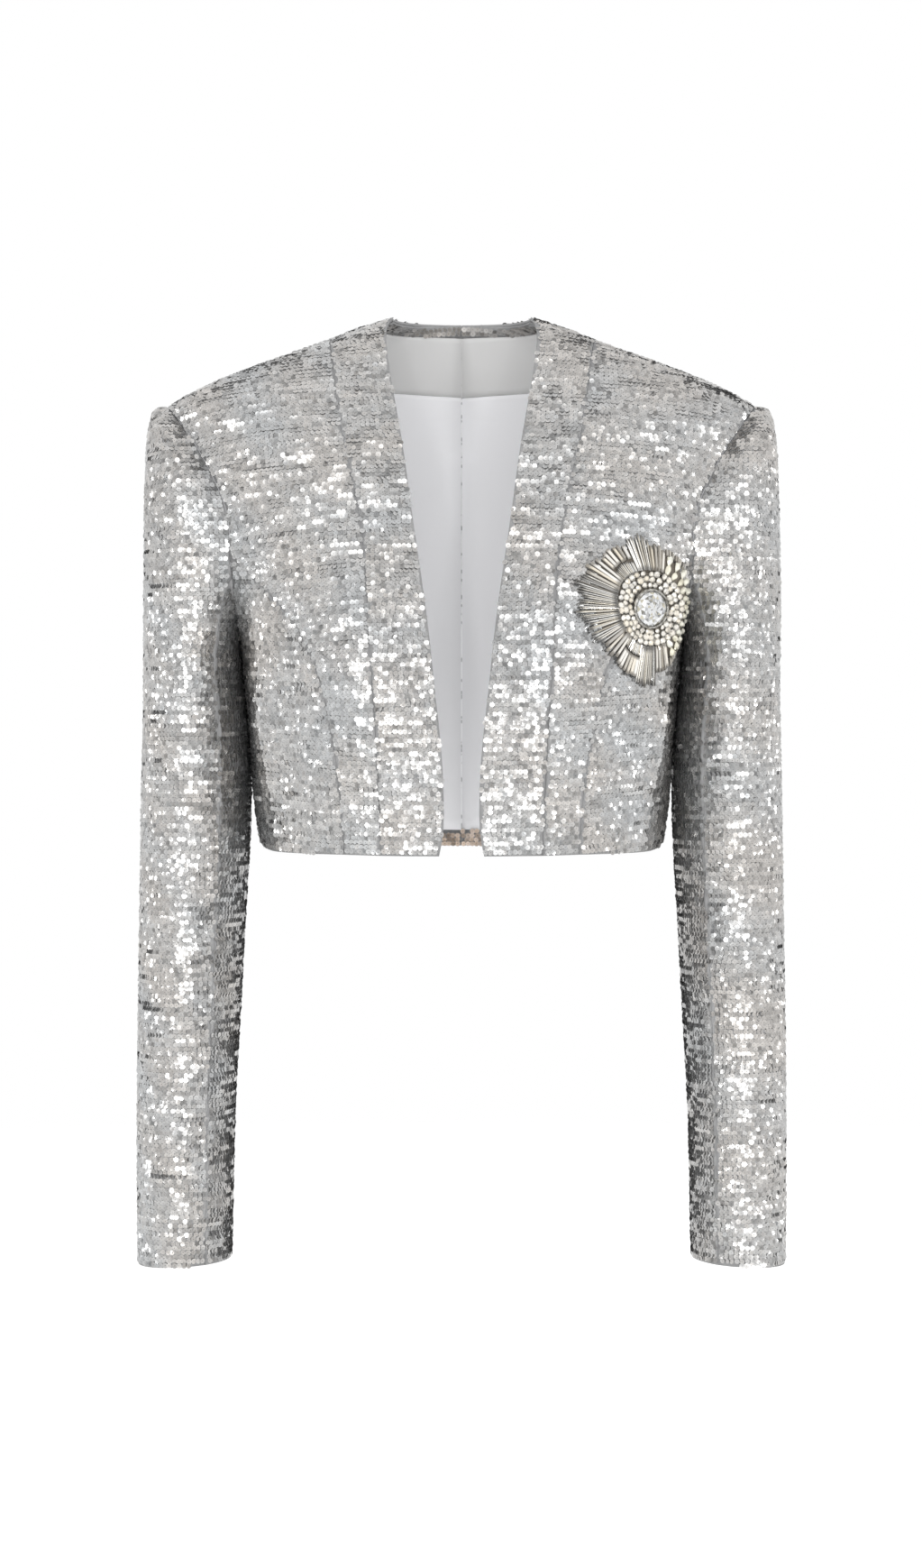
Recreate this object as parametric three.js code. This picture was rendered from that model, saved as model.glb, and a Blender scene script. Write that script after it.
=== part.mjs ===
// Cropped blazer in sequinned cloth, filled out as if worn, with no wearer in it.
// Millimetres. +X is the wearer's left, -Y the front, +Z up. The origin is midway between
// the two neck points, on the line of the shoulder seams, where a figure holds the garment up.
import * as THREE from 'three';

const WALL = 2.0; // sequinned cloth with its backing
const LINING_WALL = 1.0;
const LINING_GAP = 0.8; // between the cloth and the lining
const SEAM = 0.15; // what each piece gives up along a sewn edge
const ROUND = 2.3; // exponent of the body's rings: 2 is an ellipse, more is squarer
const TUBE_ROUND = 2.15; // the same for the sleeves
const HEM_SIDE = -373;
const ARM_TOP = -61;
const ARM_BOTTOM = -228;
const CAP_END = -262; // where the sleeve head has become a tube
const CUFF = -674;

// ---------------------------------------------------------------- tables

/** Smooth curve through rows [z, value], without overshoot. */
function curve(rows) {
  const sorted = [...rows].sort((a, b) => a[0] - b[0]);
  const x = sorted.map((r) => r[0]);
  const y = sorted.map((r) => r[1]);
  const slope = x.slice(1).map((v, i) => (y[i + 1] - y[i]) / (v - x[i]));
  const m = x.map((_, i) => {
    if (i === 0) return slope[0];
    if (i === x.length - 1) return slope[i - 1];
    const a = slope[i - 1];
    const b = slope[i];
    return a * b <= 0 ? 0 : (2 * a * b) / (a + b);
  });
  return (at) => {
    if (at <= x[0]) return y[0] + m[0] * (at - x[0]);
    const last = x.length - 1;
    if (at >= x[last]) return y[last] + m[last] * (at - x[last]);
    const i = x.findIndex((v) => v > at) - 1;
    const h = x[i + 1] - x[i];
    const t = (at - x[i]) / h;
    const t2 = t * t;
    const t3 = t2 * t;
    return (2 * t3 - 3 * t2 + 1) * y[i] + (t3 - 2 * t2 + t) * h * m[i]
      + (3 * t2 - 2 * t3) * y[i + 1] + (t3 - t2) * h * m[i + 1];
  };
}

/** One curve for each named column of a table whose first column is the height. */
function columns(names, rows) {
  return Object.fromEntries(names.map((name, i) => [name, curve(rows.map((r) => [r[0], r[i + 1]]))]));
}

// Rings of the body: half width, depth in front of and behind the side line.
// Above the armpit a ring runs on past the armhole, so that the same surface makes the shoulder.
const BODY = columns(['half', 'front', 'back'], [
  [4, 46.5, 8, 61.5],
  [3, 50, 10, 62],
  [0.5, 57.5, 14, 62.5],
  [-2, 66, 17.5, 63],
  [-6, 79, 22, 64],
  [-13, 95.5, 27, 66],
  [-20, 114.4, 30, 68],
  [-30, 143.6, 34, 70],
  [-41, 172.4, 37.5, 73],
  [-51, 194, 43, 76],
  [-61, 211.5, 49, 79],
  [-77, 210, 58.5, 82.5],
  [-98, 203.5, 70, 86],
  [-130, 198, 84, 90],
  [-162, 193, 96.5, 91],
  [-188, 179, 105.5, 89.5],
  [-212, 166, 112, 87],
  [-228, 159, 116, 84.5],
  [-245, 157, 119.5, 82],
  [-288, 152.4, 122.5, 76],
  [-322, 148, 122, 73.5],
  [-345, 145, 120.5, 73],
  [-382, 141, 118, 75],
]);

// Half widths of the front's lines: the open edge, the band seam and the princess seam.
const LINE = {
  edge: curve([[3, 50], [0.5, 52], [-7.5, 54.7], [-39.7, 50.8], [-71.6, 45.1], [-96.9, 40.5],
    [-126.8, 36.9], [-173, 29.9], [-211, 24.4], [-240.7, 20.9], [-270.5, 18.1], [-300, 14.4],
    [-330, 12.7], [-364, 12], [-373, 12.8], [-380, 15.6]]),
  band: curve([[-13, 95.5], [-15, 95], [-37.4, 91], [-66.4, 87.5], [-100.7, 80.1], [-128.7, 73.4],
    [-163.2, 68.7], [-192.5, 65.5], [-228.2, 64.3], [-279, 60.4], [-380, 56.1]]),
  princess: curve([[-170.3, 163.5], [-188, 144], [-206.6, 124], [-226, 110.5], [-246.4, 101.3],
    [-284, 92.6], [-301.5, 88.6], [-322.6, 86.2], [-336.2, 84.6], [-376, 82]]),
};

// Depth of the armhole's scoop by its angle from the shoulder tip.
const SCOOP = {
  front: curve([[0, 35], [57, 42], [100, 59], [141, 64], [180, 60]]),
  back: curve([[0, 30], [60, 36], [100, 44], [140, 50], [180, 60]]),
};

// Sleeve below its head: outer and inner side, middle and half depth.
const SLEEVE = columns(['outer', 'inner', 'middle', 'depth'], [
  [-228, 228, 160.5, 2, 61.5],
  [-262, 228.6, 158.4, 2, 61.5],
  [-288, 229, 155.3, 3, 61],
  [-322, 230, 152.4, 4, 60],
  [-350, 230.8, 152.2, 4.5, 58.5],
  [-392, 231.2, 154, 4, 56],
  [-418, 231.5, 155.8, 2.5, 55],
  [-470, 232, 158.2, -1, 52.5],
  [-522, 232.5, 161, -5.5, 50],
  [-574, 232.4, 163.4, -11, 48],
  [-626, 231.9, 164, -16, 46],
  [-672, 231.4, 164.7, -20, 45],
]);

// How square the sleeve leaves the armhole, by angle from the shoulder tip.
const SPRING = curve([[0, 5.4], [40, 4.4], [80, 2.6], [120, 1.7], [150, 1.3], [180, 1.15]]);

// ---------------------------------------------------------------- surfaces

const radians = THREE.MathUtils.degToRad;
const mix = THREE.MathUtils.lerp;

/** A rounded hill of height 1 centred on (x0, z0). */
function hill(x, z, x0, z0, wide, tall) {
  return Math.exp(-((x - x0) ** 2) / (2 * wide * wide) - ((z - z0) ** 2) / (2 * tall * tall));
}

/** The cloth's outer face for x > 0: angle 0 is the centre front, 90 the side, 180 the back. */
function bodyPoint(angle, z) {
  const u = Math.abs(Math.sin(radians(angle)));
  const w = Math.abs(Math.cos(radians(angle)));
  const k = (u ** ROUND + w ** ROUND) ** (-1 / ROUND);
  const half = BODY.half(z);
  const x = half * k * u;
  const inside = 1 - (k * u) ** 4;
  if (angle <= 90) {
    const bust = 15 * hill(x, z, 88, -243, 38, 40);
    const soft = 1.6 * Math.sin(x / 17 + z / 31) * THREE.MathUtils.smoothstep(-z, 250, 340);
    return new THREE.Vector3(x, -BODY.front(z) * k * w - (bust + soft) * inside, z);
  }
  const blade = 6 * hill(x, z, 74, -150, 46, 60);
  const drape = 2.2 * Math.sin(x / 24 - z / 45) * THREE.MathUtils.smoothstep(-z, 200, 320) * k * u;
  return new THREE.Vector3(x, BODY.back(z) * k * w + (blade + drape) * inside, z);
}

/** The angle at which a ring's front has the given half width. */
function angleAcross(x, z) {
  const share = Math.min(x / BODY.half(z), 1);
  return THREE.MathUtils.radToDeg(Math.atan2(share, (1 - share ** ROUND) ** (1 / ROUND)));
}

/** The angle at which a ring lies the given distance in front of the side line (behind: negative). */
function angleDeep(y, z) {
  const share = Math.abs(y) / (y < 0 ? BODY.back(z) : BODY.front(z));
  const angle = THREE.MathUtils.radToDeg(Math.atan2((1 - share ** ROUND) ** (1 / ROUND), share));
  return y < 0 ? 180 - angle : angle;
}

/** A point [angle, z] of the armhole seam: turn 0 is the shoulder tip, 180 the armpit. */
function armhole(turn, behind) {
  const z = (ARM_TOP + ARM_BOTTOM) / 2 + ((ARM_TOP - ARM_BOTTOM) / 2) * Math.cos(radians(turn));
  const deep = (behind ? SCOOP.back : SCOOP.front)(turn) * Math.sin(radians(turn));
  if (deep < 1e-6) return [90, z];
  return [angleDeep(behind ? -deep : deep, z), z];
}

/** The sleeve's outer face. Turn runs from the outer side (0) over the front (90) to the back (270). */
function tubePoint(turn, z) {
  const c = Math.cos(radians(turn));
  const s = Math.sin(radians(turn));
  const k = (Math.abs(c) ** TUBE_ROUND + Math.abs(s) ** TUBE_ROUND) ** (-1 / TUBE_ROUND);
  const half = (SLEEVE.outer(z) - SLEEVE.inner(z)) / 2;
  const low = THREE.MathUtils.smoothstep(-z, 300, 400) * THREE.MathUtils.smoothstep(z, -660, -600);
  const crease = 1.5 * Math.sin(z / 24 + 1.2 * Math.sin(radians(turn))) * low * s * s;
  const x = SLEEVE.inner(z) + half + half * k * c;
  const y = SLEEVE.middle(z) - (SLEEVE.depth(z) + crease) * k * s;
  return new THREE.Vector3(x, y, z + 2 * (1 - k * c) * THREE.MathUtils.smoothstep(-z, 560, 672));
}

/** The sleeve's face with its head: row 0 to 1 goes from the armhole to the tube, above 1 down it. */
function sleevePoint(turn, row) {
  if (row >= 1) return tubePoint(turn, mix(CAP_END, CUFF, row - 1));
  const behind = turn > 180;
  const start = bodyPoint(...armhole(behind ? 360 - turn : turn, behind));
  start.x += 2 * SEAM;
  const end = tubePoint(turn, CAP_END);
  const power = 2 / SPRING(behind ? 360 - turn : turn);
  const out = Math.sin((row * Math.PI) / 2) ** power;
  const down = 1 - Math.cos((row * Math.PI) / 2) ** power;
  return new THREE.Vector3(
    mix(start.x, end.x, out), mix(start.y, end.y, out), mix(start.z, end.z, down));
}

/** Unit normal of a surface at two parameters, by differences kept inside the given ranges. */
function normalOf(surface, a, b, stepA, stepB, topB = Infinity) {
  const b1 = Math.min(b + stepB, topB);
  const along = surface(a + stepA, b).sub(surface(a - stepA, b));
  const down = surface(a, b1).sub(surface(a, b1 - 2 * stepB));
  return along.cross(down).normalize();
}

/** Outward normal of the body. */
function bodyNormal(angle, z) {
  const side = Math.min(Math.max(angle, 0.6), 179.4);
  return normalOf(bodyPoint, side, z, 0.5, 0.6, 3.6);
}

// ---------------------------------------------------------------- solids

/** A mesh of triangles from points and faces, mirrored to the wearer's right if asked. */
function solid(name, points, faces, material, mirrored) {
  const sign = mirrored ? -1 : 1;
  const geometry = new THREE.BufferGeometry();
  const flat = points.flatMap((p) => [sign * p.x, p.y, p.z]);
  geometry.setAttribute('position', new THREE.Float32BufferAttribute(flat, 3));
  geometry.setIndex(faces.flatMap(([a, b, c]) => (mirrored ? [a, c, b] : [a, b, c])));
  geometry.computeVertexNormals();
  const mesh = new THREE.Mesh(geometry, material.clone());
  mesh.name = name;
  return mesh;
}

/** Moves the border points of a grid inwards along its rows and columns by a distance. */
function drawIn(grid, inset) {
  const rows = grid.length;
  const cols = grid[0].length;
  const moved = grid.map((row) => row.map((p) => p.clone()));
  const pull = (r, c, r2, c2, by) => {
    const way = grid[r2][c2].clone().sub(grid[r][c]).normalize();
    moved[r][c].addScaledVector(way, by);
  };
  for (let c = 0; c < cols; c += 1) {
    pull(0, c, 1, c, inset.top);
    pull(rows - 1, c, rows - 2, c, inset.bottom);
  }
  for (let r = 0; r < rows; r += 1) {
    pull(r, 0, r, 1, inset.left);
    pull(r, cols - 1, r, cols - 2, inset.right);
  }
  return moved;
}

/** A panel of cloth: a grid of surface parameters with its outer face, its inner face and its rim. */
function panel(name, grid, surface, normal, material, options = {}) {
  const { out = 0, wall = WALL, mirrored = false, flip = false, inset = {} } = options;
  const edges = { top: SEAM, bottom: 0, left: SEAM, right: SEAM, ...inset };
  const layer = (height) => drawIn(
    grid.map((row) => row.map(([a, b]) => surface(a, b).addScaledVector(normal(a, b), height))), edges);
  const outer = layer(out);
  const inner = layer(out - wall);
  const rows = grid.length;
  const cols = grid[0].length;
  const points = [...outer.flat(), ...inner.flat()];
  const o = (r, c) => r * cols + c;
  const n = (r, c) => rows * cols + r * cols + c;
  const faces = [];
  const quad = (a, b, c, d) => faces.push(flip ? [a, c, b] : [a, b, c], flip ? [a, d, c] : [a, c, d]);
  for (let r = 0; r < rows - 1; r += 1) {
    for (let c = 0; c < cols - 1; c += 1) {
      quad(o(r, c), o(r + 1, c), o(r + 1, c + 1), o(r, c + 1));
      quad(n(r, c), n(r, c + 1), n(r + 1, c + 1), n(r + 1, c));
    }
  }
  for (let c = 0; c < cols - 1; c += 1) {
    quad(o(0, c), o(0, c + 1), n(0, c + 1), n(0, c));
    quad(o(rows - 1, c), n(rows - 1, c), n(rows - 1, c + 1), o(rows - 1, c + 1));
  }
  for (let r = 0; r < rows - 1; r += 1) {
    quad(o(r, 0), n(r, 0), n(r + 1, 0), o(r + 1, 0));
    quad(o(r, cols - 1), o(r + 1, cols - 1), n(r + 1, cols - 1), n(r, cols - 1));
  }
  return solid(name, points, faces, material, mirrored);
}

/** Grid of [angle, z] between four borders: left and right run down, top and bottom across. */
function between(top, bottom, left, right) {
  const rows = left.length - 1;
  const cols = top.length - 1;
  const at = (i, j, k) => {
    const v = i / rows;
    const u = j / cols;
    return mix(top[j][k], bottom[j][k], v) + mix(left[i][k], right[i][k], u)
      - mix(mix(top[0][k], top[cols][k], u), mix(bottom[0][k], bottom[cols][k], u), v);
  };
  return left.map((_, i) => top.map((__, j) => [at(i, j, 0), at(i, j, 1)]));
}

/** The straight run of parameters between two points, in the given number of steps. */
function run(from, to, steps) {
  return Array.from({ length: steps + 1 }, (_, i) => [
    mix(from[0], to[0], i / steps), mix(from[1], to[1], i / steps)]);
}

/** A hem that runs level and rises only near its far end, at the side seam. */
function hem(from, to, steps) {
  return run(from, to, steps).map(([angle], i) => [angle, mix(from[1], to[1], (i / steps) ** 5)]);
}

// ---------------------------------------------------------------- borders of the pieces

const SHOULDER_Z = [3, 0.5, -2, -6, -13, -20, -30, -41, -51, ARM_TOP];
const BAND_COLS = 4; // of the shoulder seam's steps, the rest belong to the middle front
const EDGE_Z = [3, 0.5, -4, -13, -28, -48, -74, -102, -132, -161,
  -190, -215, -240, -264, -288, -312, -338, -364, -380];
const BAND_Z = [-13, -15, -20, -30, -45, -65, -88, -112, -138, -165,
  -190, -215, -240, -264, -288, -312, -337, -362, -380];
const PRINCESS_Z = [-192, -216, -240, -264, -288, -312, -336, -360, -379.6];
const SIDE_Z = [-228, -243, -259, -276, -293, -310, -327, -344, -360, HEM_SIDE];
const TURN = 12; // degrees between points of the armhole
const PRINCESS_TURN = 9; // the princess seam leaves the armhole at this point
const FRONT_SEAM = 10; // the sleeve's two seams, as points of the armhole
const BACK_SEAM = 20;

const shoulder = SHOULDER_Z.map((z) => [90, z]);
const frontArm = Array.from({ length: 16 }, (_, i) => armhole(i * TURN, false));
const backArm = Array.from({ length: 16 }, (_, i) => armhole(i * TURN, true));
const side = SIDE_Z.map((z) => [90, z]);
const edge = EDGE_Z.map((z) => [angleAcross(LINE.edge(z), z), z]);
const band = BAND_Z.map((z) => [angleAcross(LINE.band(z), z), z]);
const princess = [frontArm[PRINCESS_TURN],
  ...PRINCESS_Z.map((z) => [angleAcross(LINE.princess(z), z), z])];

const bandGrid = between(
  shoulder.slice(0, BAND_COLS + 1), run(edge.at(-1), band.at(-1), BAND_COLS), edge, band);
const middleRight = [...frontArm.slice(0, PRINCESS_TURN + 1), ...princess.slice(1)];
const middleTop = shoulder.slice(BAND_COLS);
const middleGrid = between(
  middleTop, run(band.at(-1), princess.at(-1), middleTop.length - 1), band, middleRight);
const sideTop = frontArm.slice(PRINCESS_TURN);
const sideGrid = between(
  sideTop, hem(princess.at(-1), side.at(-1), sideTop.length - 1), princess, side);

const BACK_COLS = 8;
const CENTRE_TOP = [3, -6, -14, -22, -29, -35, -42, -52, -58, -65];
const CENTRE_SIDE = [-245, -262, -279, -296, -313, -331, -349, -368.5, -380];
const centreBack = [
  ...CENTRE_TOP,
  ...Array.from({ length: 15 }, (_, i) => mix(-65, -228, (i + 1) / 15)),
  ...CENTRE_SIDE,
].map((z) => [180, z]);
const backRight = [...shoulder, ...backArm.slice(1), ...side.slice(1)];
const backGrid = between(
  run([180, 3], [90, 3], BACK_COLS), hem([180, -380], [90, HEM_SIDE], BACK_COLS), centreBack, backRight);
const FACING_ROWS = [1, 7];
const LINING_ROWS = [7, centreBack.length - 2];

const CAP_ROWS = [0, 0.09, 0.2, 0.33, 0.49, 0.66, 0.83, 1];
const TUBE_STEPS = 13;
const sleeveRows = [
  ...CAP_ROWS, ...Array.from({ length: TUBE_STEPS }, (_, i) => 1 + (i + 1) / TUBE_STEPS)];

/** Grid of [turn, row] for a sleeve piece between two of the armhole's points. */
function sleeveGrid(first, last) {
  const turns = Array.from({ length: last - first + 1 }, (_, i) => (first + i) * TURN);
  return sleeveRows.map((row) => turns.map((turn) => [turn, row]));
}

/** A sleeve point for any turn, so that one piece can run through the outer side. */
function sleeveAround(turn, row) {
  return sleevePoint(((turn % 360) + 360) % 360, row);
}

/** Outward normal for any turn. */
function sleeveAroundNormal(turn, row) {
  const at = Math.max(row, 0.03);
  const across = sleeveAround(turn + 1, row).sub(sleeveAround(turn - 1, row));
  const down = sleeveAround(turn, at + 0.012).sub(sleeveAround(turn, at - 0.02));
  return across.cross(down).normalize();
}

// ---------------------------------------------------------------- the sunburst

const BURST = { x: 129, z: -208, rays: 30, hub: 26, reach: 54, lift: 1.8 };
const RAY_REACH = [1, 0.8, 0.9, 0.76, 0.97, 0.84]; // shares of the reach, ray after ray

/** A point of the cloth the given distance and direction from the sunburst's middle. */
function burstPoint(radius, degrees, height) {
  const aside = radius * Math.cos(radians(degrees));
  const z = BURST.z + radius * Math.sin(radians(degrees)) * 0.985;
  let angle = angleAcross(BURST.x, z);
  const steps = 6;
  for (let i = 0; i < steps; i += 1) {
    const speed = bodyPoint(angle + 0.5, z).distanceTo(bodyPoint(angle - 0.5, z));
    angle = Math.min(angle + aside / steps / speed, 89);
  }
  return bodyPoint(angle, z).addScaledVector(bodyNormal(angle, z), BURST.lift + height);
}

/** A closed ring on the cloth: profile(i) lists [radius, height] pairs round its section. */
function ringOnCloth(name, steps, profile, material) {
  const sections = Array.from({ length: steps }, (_, i) => profile(i).map(
    ([radius, height]) => burstPoint(radius, (i * 360) / steps, height)));
  const n = sections[0].length;
  const faces = [];
  for (let i = 0; i < steps; i += 1) {
    const a = i * n;
    const b = ((i + 1) % steps) * n;
    for (let j = 0; j < n; j += 1) {
      const j2 = (j + 1) % n;
      faces.push([a + j, b + j, b + j2], [a + j, b + j2, a + j2]);
    }
  }
  return solid(name, sections.flat(), faces, material, false);
}

/** A faceted stone: rings of points with a middle point below and above. */
function stone(name, sides, rings, material) {
  const points = rings.flatMap(([radius, height, twist]) => Array.from({ length: sides }, (_, i) => {
    const middle = burstPoint(0, 0, height);
    const rim = burstPoint(radius, ((i + twist) * 360) / sides, height);
    return radius > 0 ? rim : middle;
  }));
  const low = points.length;
  points.push(burstPoint(0, 0, rings[0][1]), burstPoint(0, 0, rings.at(-1)[1]));
  const faces = [];
  for (let r = 0; r < rings.length - 1; r += 1) {
    for (let i = 0; i < sides; i += 1) {
      const i2 = (i + 1) % sides;
      const a = r * sides + i;
      const b = r * sides + i2;
      faces.push([a, b, b + sides], [a, b + sides, a + sides]);
    }
  }
  const top = (rings.length - 1) * sides;
  for (let i = 0; i < sides; i += 1) {
    const i2 = (i + 1) % sides;
    faces.push([i2, i, low], [top + i, top + i2, low + 1]);
  }
  return solid(name, points, faces, material, false);
}

// ---------------------------------------------------------------- assembly

const paint = (color, roughness, metalness) => new THREE.MeshStandardMaterial({
  color, roughness, metalness });
const SEQUIN = paint(0xb9b9b6, 0.35, 0.6);
const LINING = paint(0xcbcbcd, 0.7, 0);
const RHINESTONE = paint(0xd9cdb8, 0.15, 0.1);
const SILVER = paint(0xc9c7c2, 0.25, 0.9);
const BODY_LINE = [bodyPoint, bodyNormal];
const SLEEVE_LINE = [sleeveAround, sleeveAroundNormal];

const blazer = new THREE.Group();
blazer.name = 'cropped_blazer';

for (const mirrored of [false, true]) {
  const hand = mirrored ? 'right' : 'left';
  const cloth = { mirrored };
  const open = { ...cloth, inset: { left: 0 } };
  const backEdge = { mirrored, flip: true };
  const sleeve = { mirrored, flip: true };
  const layer = (depth) => ({ ...backEdge, out: -depth, wall: LINING_WALL });
  const under = WALL + LINING_GAP;
  const rows = ([first, last]) => backGrid.slice(first, last + 1);
  blazer.add(
    panel(`front_band_${hand}`, bandGrid, ...BODY_LINE, SEQUIN, open),
    panel(`front_middle_${hand}`, middleGrid, ...BODY_LINE, SEQUIN, cloth),
    panel(`front_side_${hand}`, sideGrid, ...BODY_LINE, SEQUIN, cloth),
    panel(`back_${hand}`, backGrid, ...BODY_LINE, SEQUIN, { ...backEdge, inset: { top: 0 } }),
    panel(`sleeve_upper_${hand}`, sleeveGrid(BACK_SEAM - 30, FRONT_SEAM), ...SLEEVE_LINE, SEQUIN, sleeve),
    panel(`sleeve_under_${hand}`, sleeveGrid(FRONT_SEAM, BACK_SEAM), ...SLEEVE_LINE, SEQUIN, sleeve),
    panel(`back_neck_strip_${hand}`, rows([0, 1]), ...BODY_LINE, SEQUIN,
      { ...layer(under), inset: { top: 0, bottom: SEAM, right: 3 } }),
    panel(`back_facing_${hand}`, rows(FACING_ROWS), ...BODY_LINE, LINING,
      { ...layer(under), inset: { bottom: SEAM, right: 3 } }),
    panel(`back_lining_${hand}`, rows(LINING_ROWS), ...BODY_LINE, LINING,
      { ...layer(under), inset: { bottom: SEAM, right: 3 } }),
    panel(`back_hem_strip_${hand}`, backGrid.slice(LINING_ROWS[1]), ...BODY_LINE, SEQUIN,
      { ...layer(under), inset: { right: 3 } }),
  );
}

const RAY_SLOTS = 2; // a crest and a valley for each ray
blazer.add(
  ringOnCloth('sunburst_rays', BURST.rays * RAY_SLOTS, (i) => {
    const crest = i % RAY_SLOTS === 0;
    const share = crest ? RAY_REACH[Math.floor(i / RAY_SLOTS) % RAY_REACH.length] : 0.72;
    const outward = Math.max(Math.cos((i * Math.PI) / BURST.rays), 0);
    const reach = BURST.reach * share * (1 - 0.2 * outward);
    const thick = crest ? 2.6 : 1.4;
    const steps = [0, 0.25, 0.5, 0.75, 1];
    const under = steps.map((v) => [mix(BURST.hub, reach, v), 0]);
    const over = steps.map((v) => [mix(BURST.hub, reach, v), thick * (v === 1 ? 0.6 : 1)]).reverse();
    return [...under, ...over];
  }, RHINESTONE),
  ringOnCloth('sunburst_halo', 48, (i) => {
    const top = i % 2 ? 1.4 : 2.6;
    return [[14.4, 0], [20, 0], [25.6, 0], [25.6, 0.9], [23.2, top], [16.8, top], [14.4, 0.9]];
  }, RHINESTONE),
  ringOnCloth('sunburst_bezel', 32, () => [[11.7, 0], [14, 0], [14, 2.4], [12.8, 3.6], [11.7, 3.2]], SILVER),
  stone('sunburst_stone', 12, [[10, 0, 0], [11.2, 1.6, 0], [10.2, 3.6, 0.5], [6.2, 5.8, 0]], RHINESTONE),
);

export default blazer;
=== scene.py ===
import logging
import math
from collections import deque
from collections.abc import Iterable, Iterator, Sequence
from dataclasses import dataclass, field
from enum import Enum

import bmesh
import bpy
import numpy as np
from mathutils import Matrix, Vector
from mathutils.bvhtree import BVHTree
from mathutils.kdtree import KDTree


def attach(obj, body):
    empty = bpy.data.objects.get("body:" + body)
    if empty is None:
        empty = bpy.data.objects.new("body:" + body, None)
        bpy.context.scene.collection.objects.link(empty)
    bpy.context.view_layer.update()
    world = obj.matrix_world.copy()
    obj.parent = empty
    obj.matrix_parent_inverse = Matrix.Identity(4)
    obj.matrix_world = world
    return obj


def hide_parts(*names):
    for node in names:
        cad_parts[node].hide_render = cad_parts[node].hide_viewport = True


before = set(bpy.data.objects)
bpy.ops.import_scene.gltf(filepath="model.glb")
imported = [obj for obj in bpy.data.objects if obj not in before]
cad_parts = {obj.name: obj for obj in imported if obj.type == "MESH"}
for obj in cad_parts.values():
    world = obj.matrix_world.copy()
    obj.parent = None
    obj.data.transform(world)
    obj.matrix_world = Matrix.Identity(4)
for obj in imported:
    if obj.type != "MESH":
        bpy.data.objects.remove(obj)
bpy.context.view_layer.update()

LOG = logging.getLogger("blazer")
SEED = 41
MM = 0.001

# The UV map of the small shapes, the tiles along each of its sides, and a shape's reach in its tile
TILE_MAP = "OFBake"
CELLS = 8
TILE_REACH = 0.45

# The angle from which an edge is a cut edge of the cloth
SHARP = math.radians(50)

# The x and y of the left sleeve's long axis, and the height of the chest's top
SLEEVE_MIDDLE = (0.194, -0.004)
CHEST_TOP = -0.13

Triple = tuple[float, float, float]
Colour = Triple


# Shader maths


class Value:
    """A number in a node tree, which Python's operators turn into Math nodes."""

    def __init__(self, graph: "Graph", socket: bpy.types.NodeSocket) -> None:
        """Keeps the socket and the graph that it belongs to."""
        self.graph = graph
        self.socket = socket

    def maths(self, operation: str, *terms: "float | Value") -> "Value":
        """Adds one Math node.

        Args:
            operation: The node's operation.
            terms: The values after this one.

        Returns:
            The node's result.
        """
        inputs = {0: self, **{i + 1: term for i, term in enumerate(terms)}}
        return self.graph.number("ShaderNodeMath", {"operation": operation}, inputs)

    def __add__(self, other: "float | Value") -> "Value":
        """self + other."""
        return self.maths("ADD", other)

    def __sub__(self, other: "float | Value") -> "Value":
        """self - other."""
        return self.maths("SUBTRACT", other)

    def __mul__(self, other: "float | Value") -> "Value":
        """self * other."""
        return self.maths("MULTIPLY", other)

    def __truediv__(self, other: "float | Value") -> "Value":
        """self / other."""
        return self.maths("DIVIDE", other)

    def __pow__(self, other: "float | Value") -> "Value":
        """self ** other."""
        return self.maths("POWER", other)

    def __neg__(self) -> "Value":
        """-self."""
        return self.maths("MULTIPLY", -1.0)

    def __rsub__(self, other: float) -> "Value":
        """other - self."""
        return (-self).maths("ADD", other)

    __radd__ = __add__
    __rmul__ = __mul__

    def clamped(self) -> "Value":
        """The value held between 0 and 1."""
        return self.graph.number("ShaderNodeClamp", {}, {"Value": self})


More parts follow.
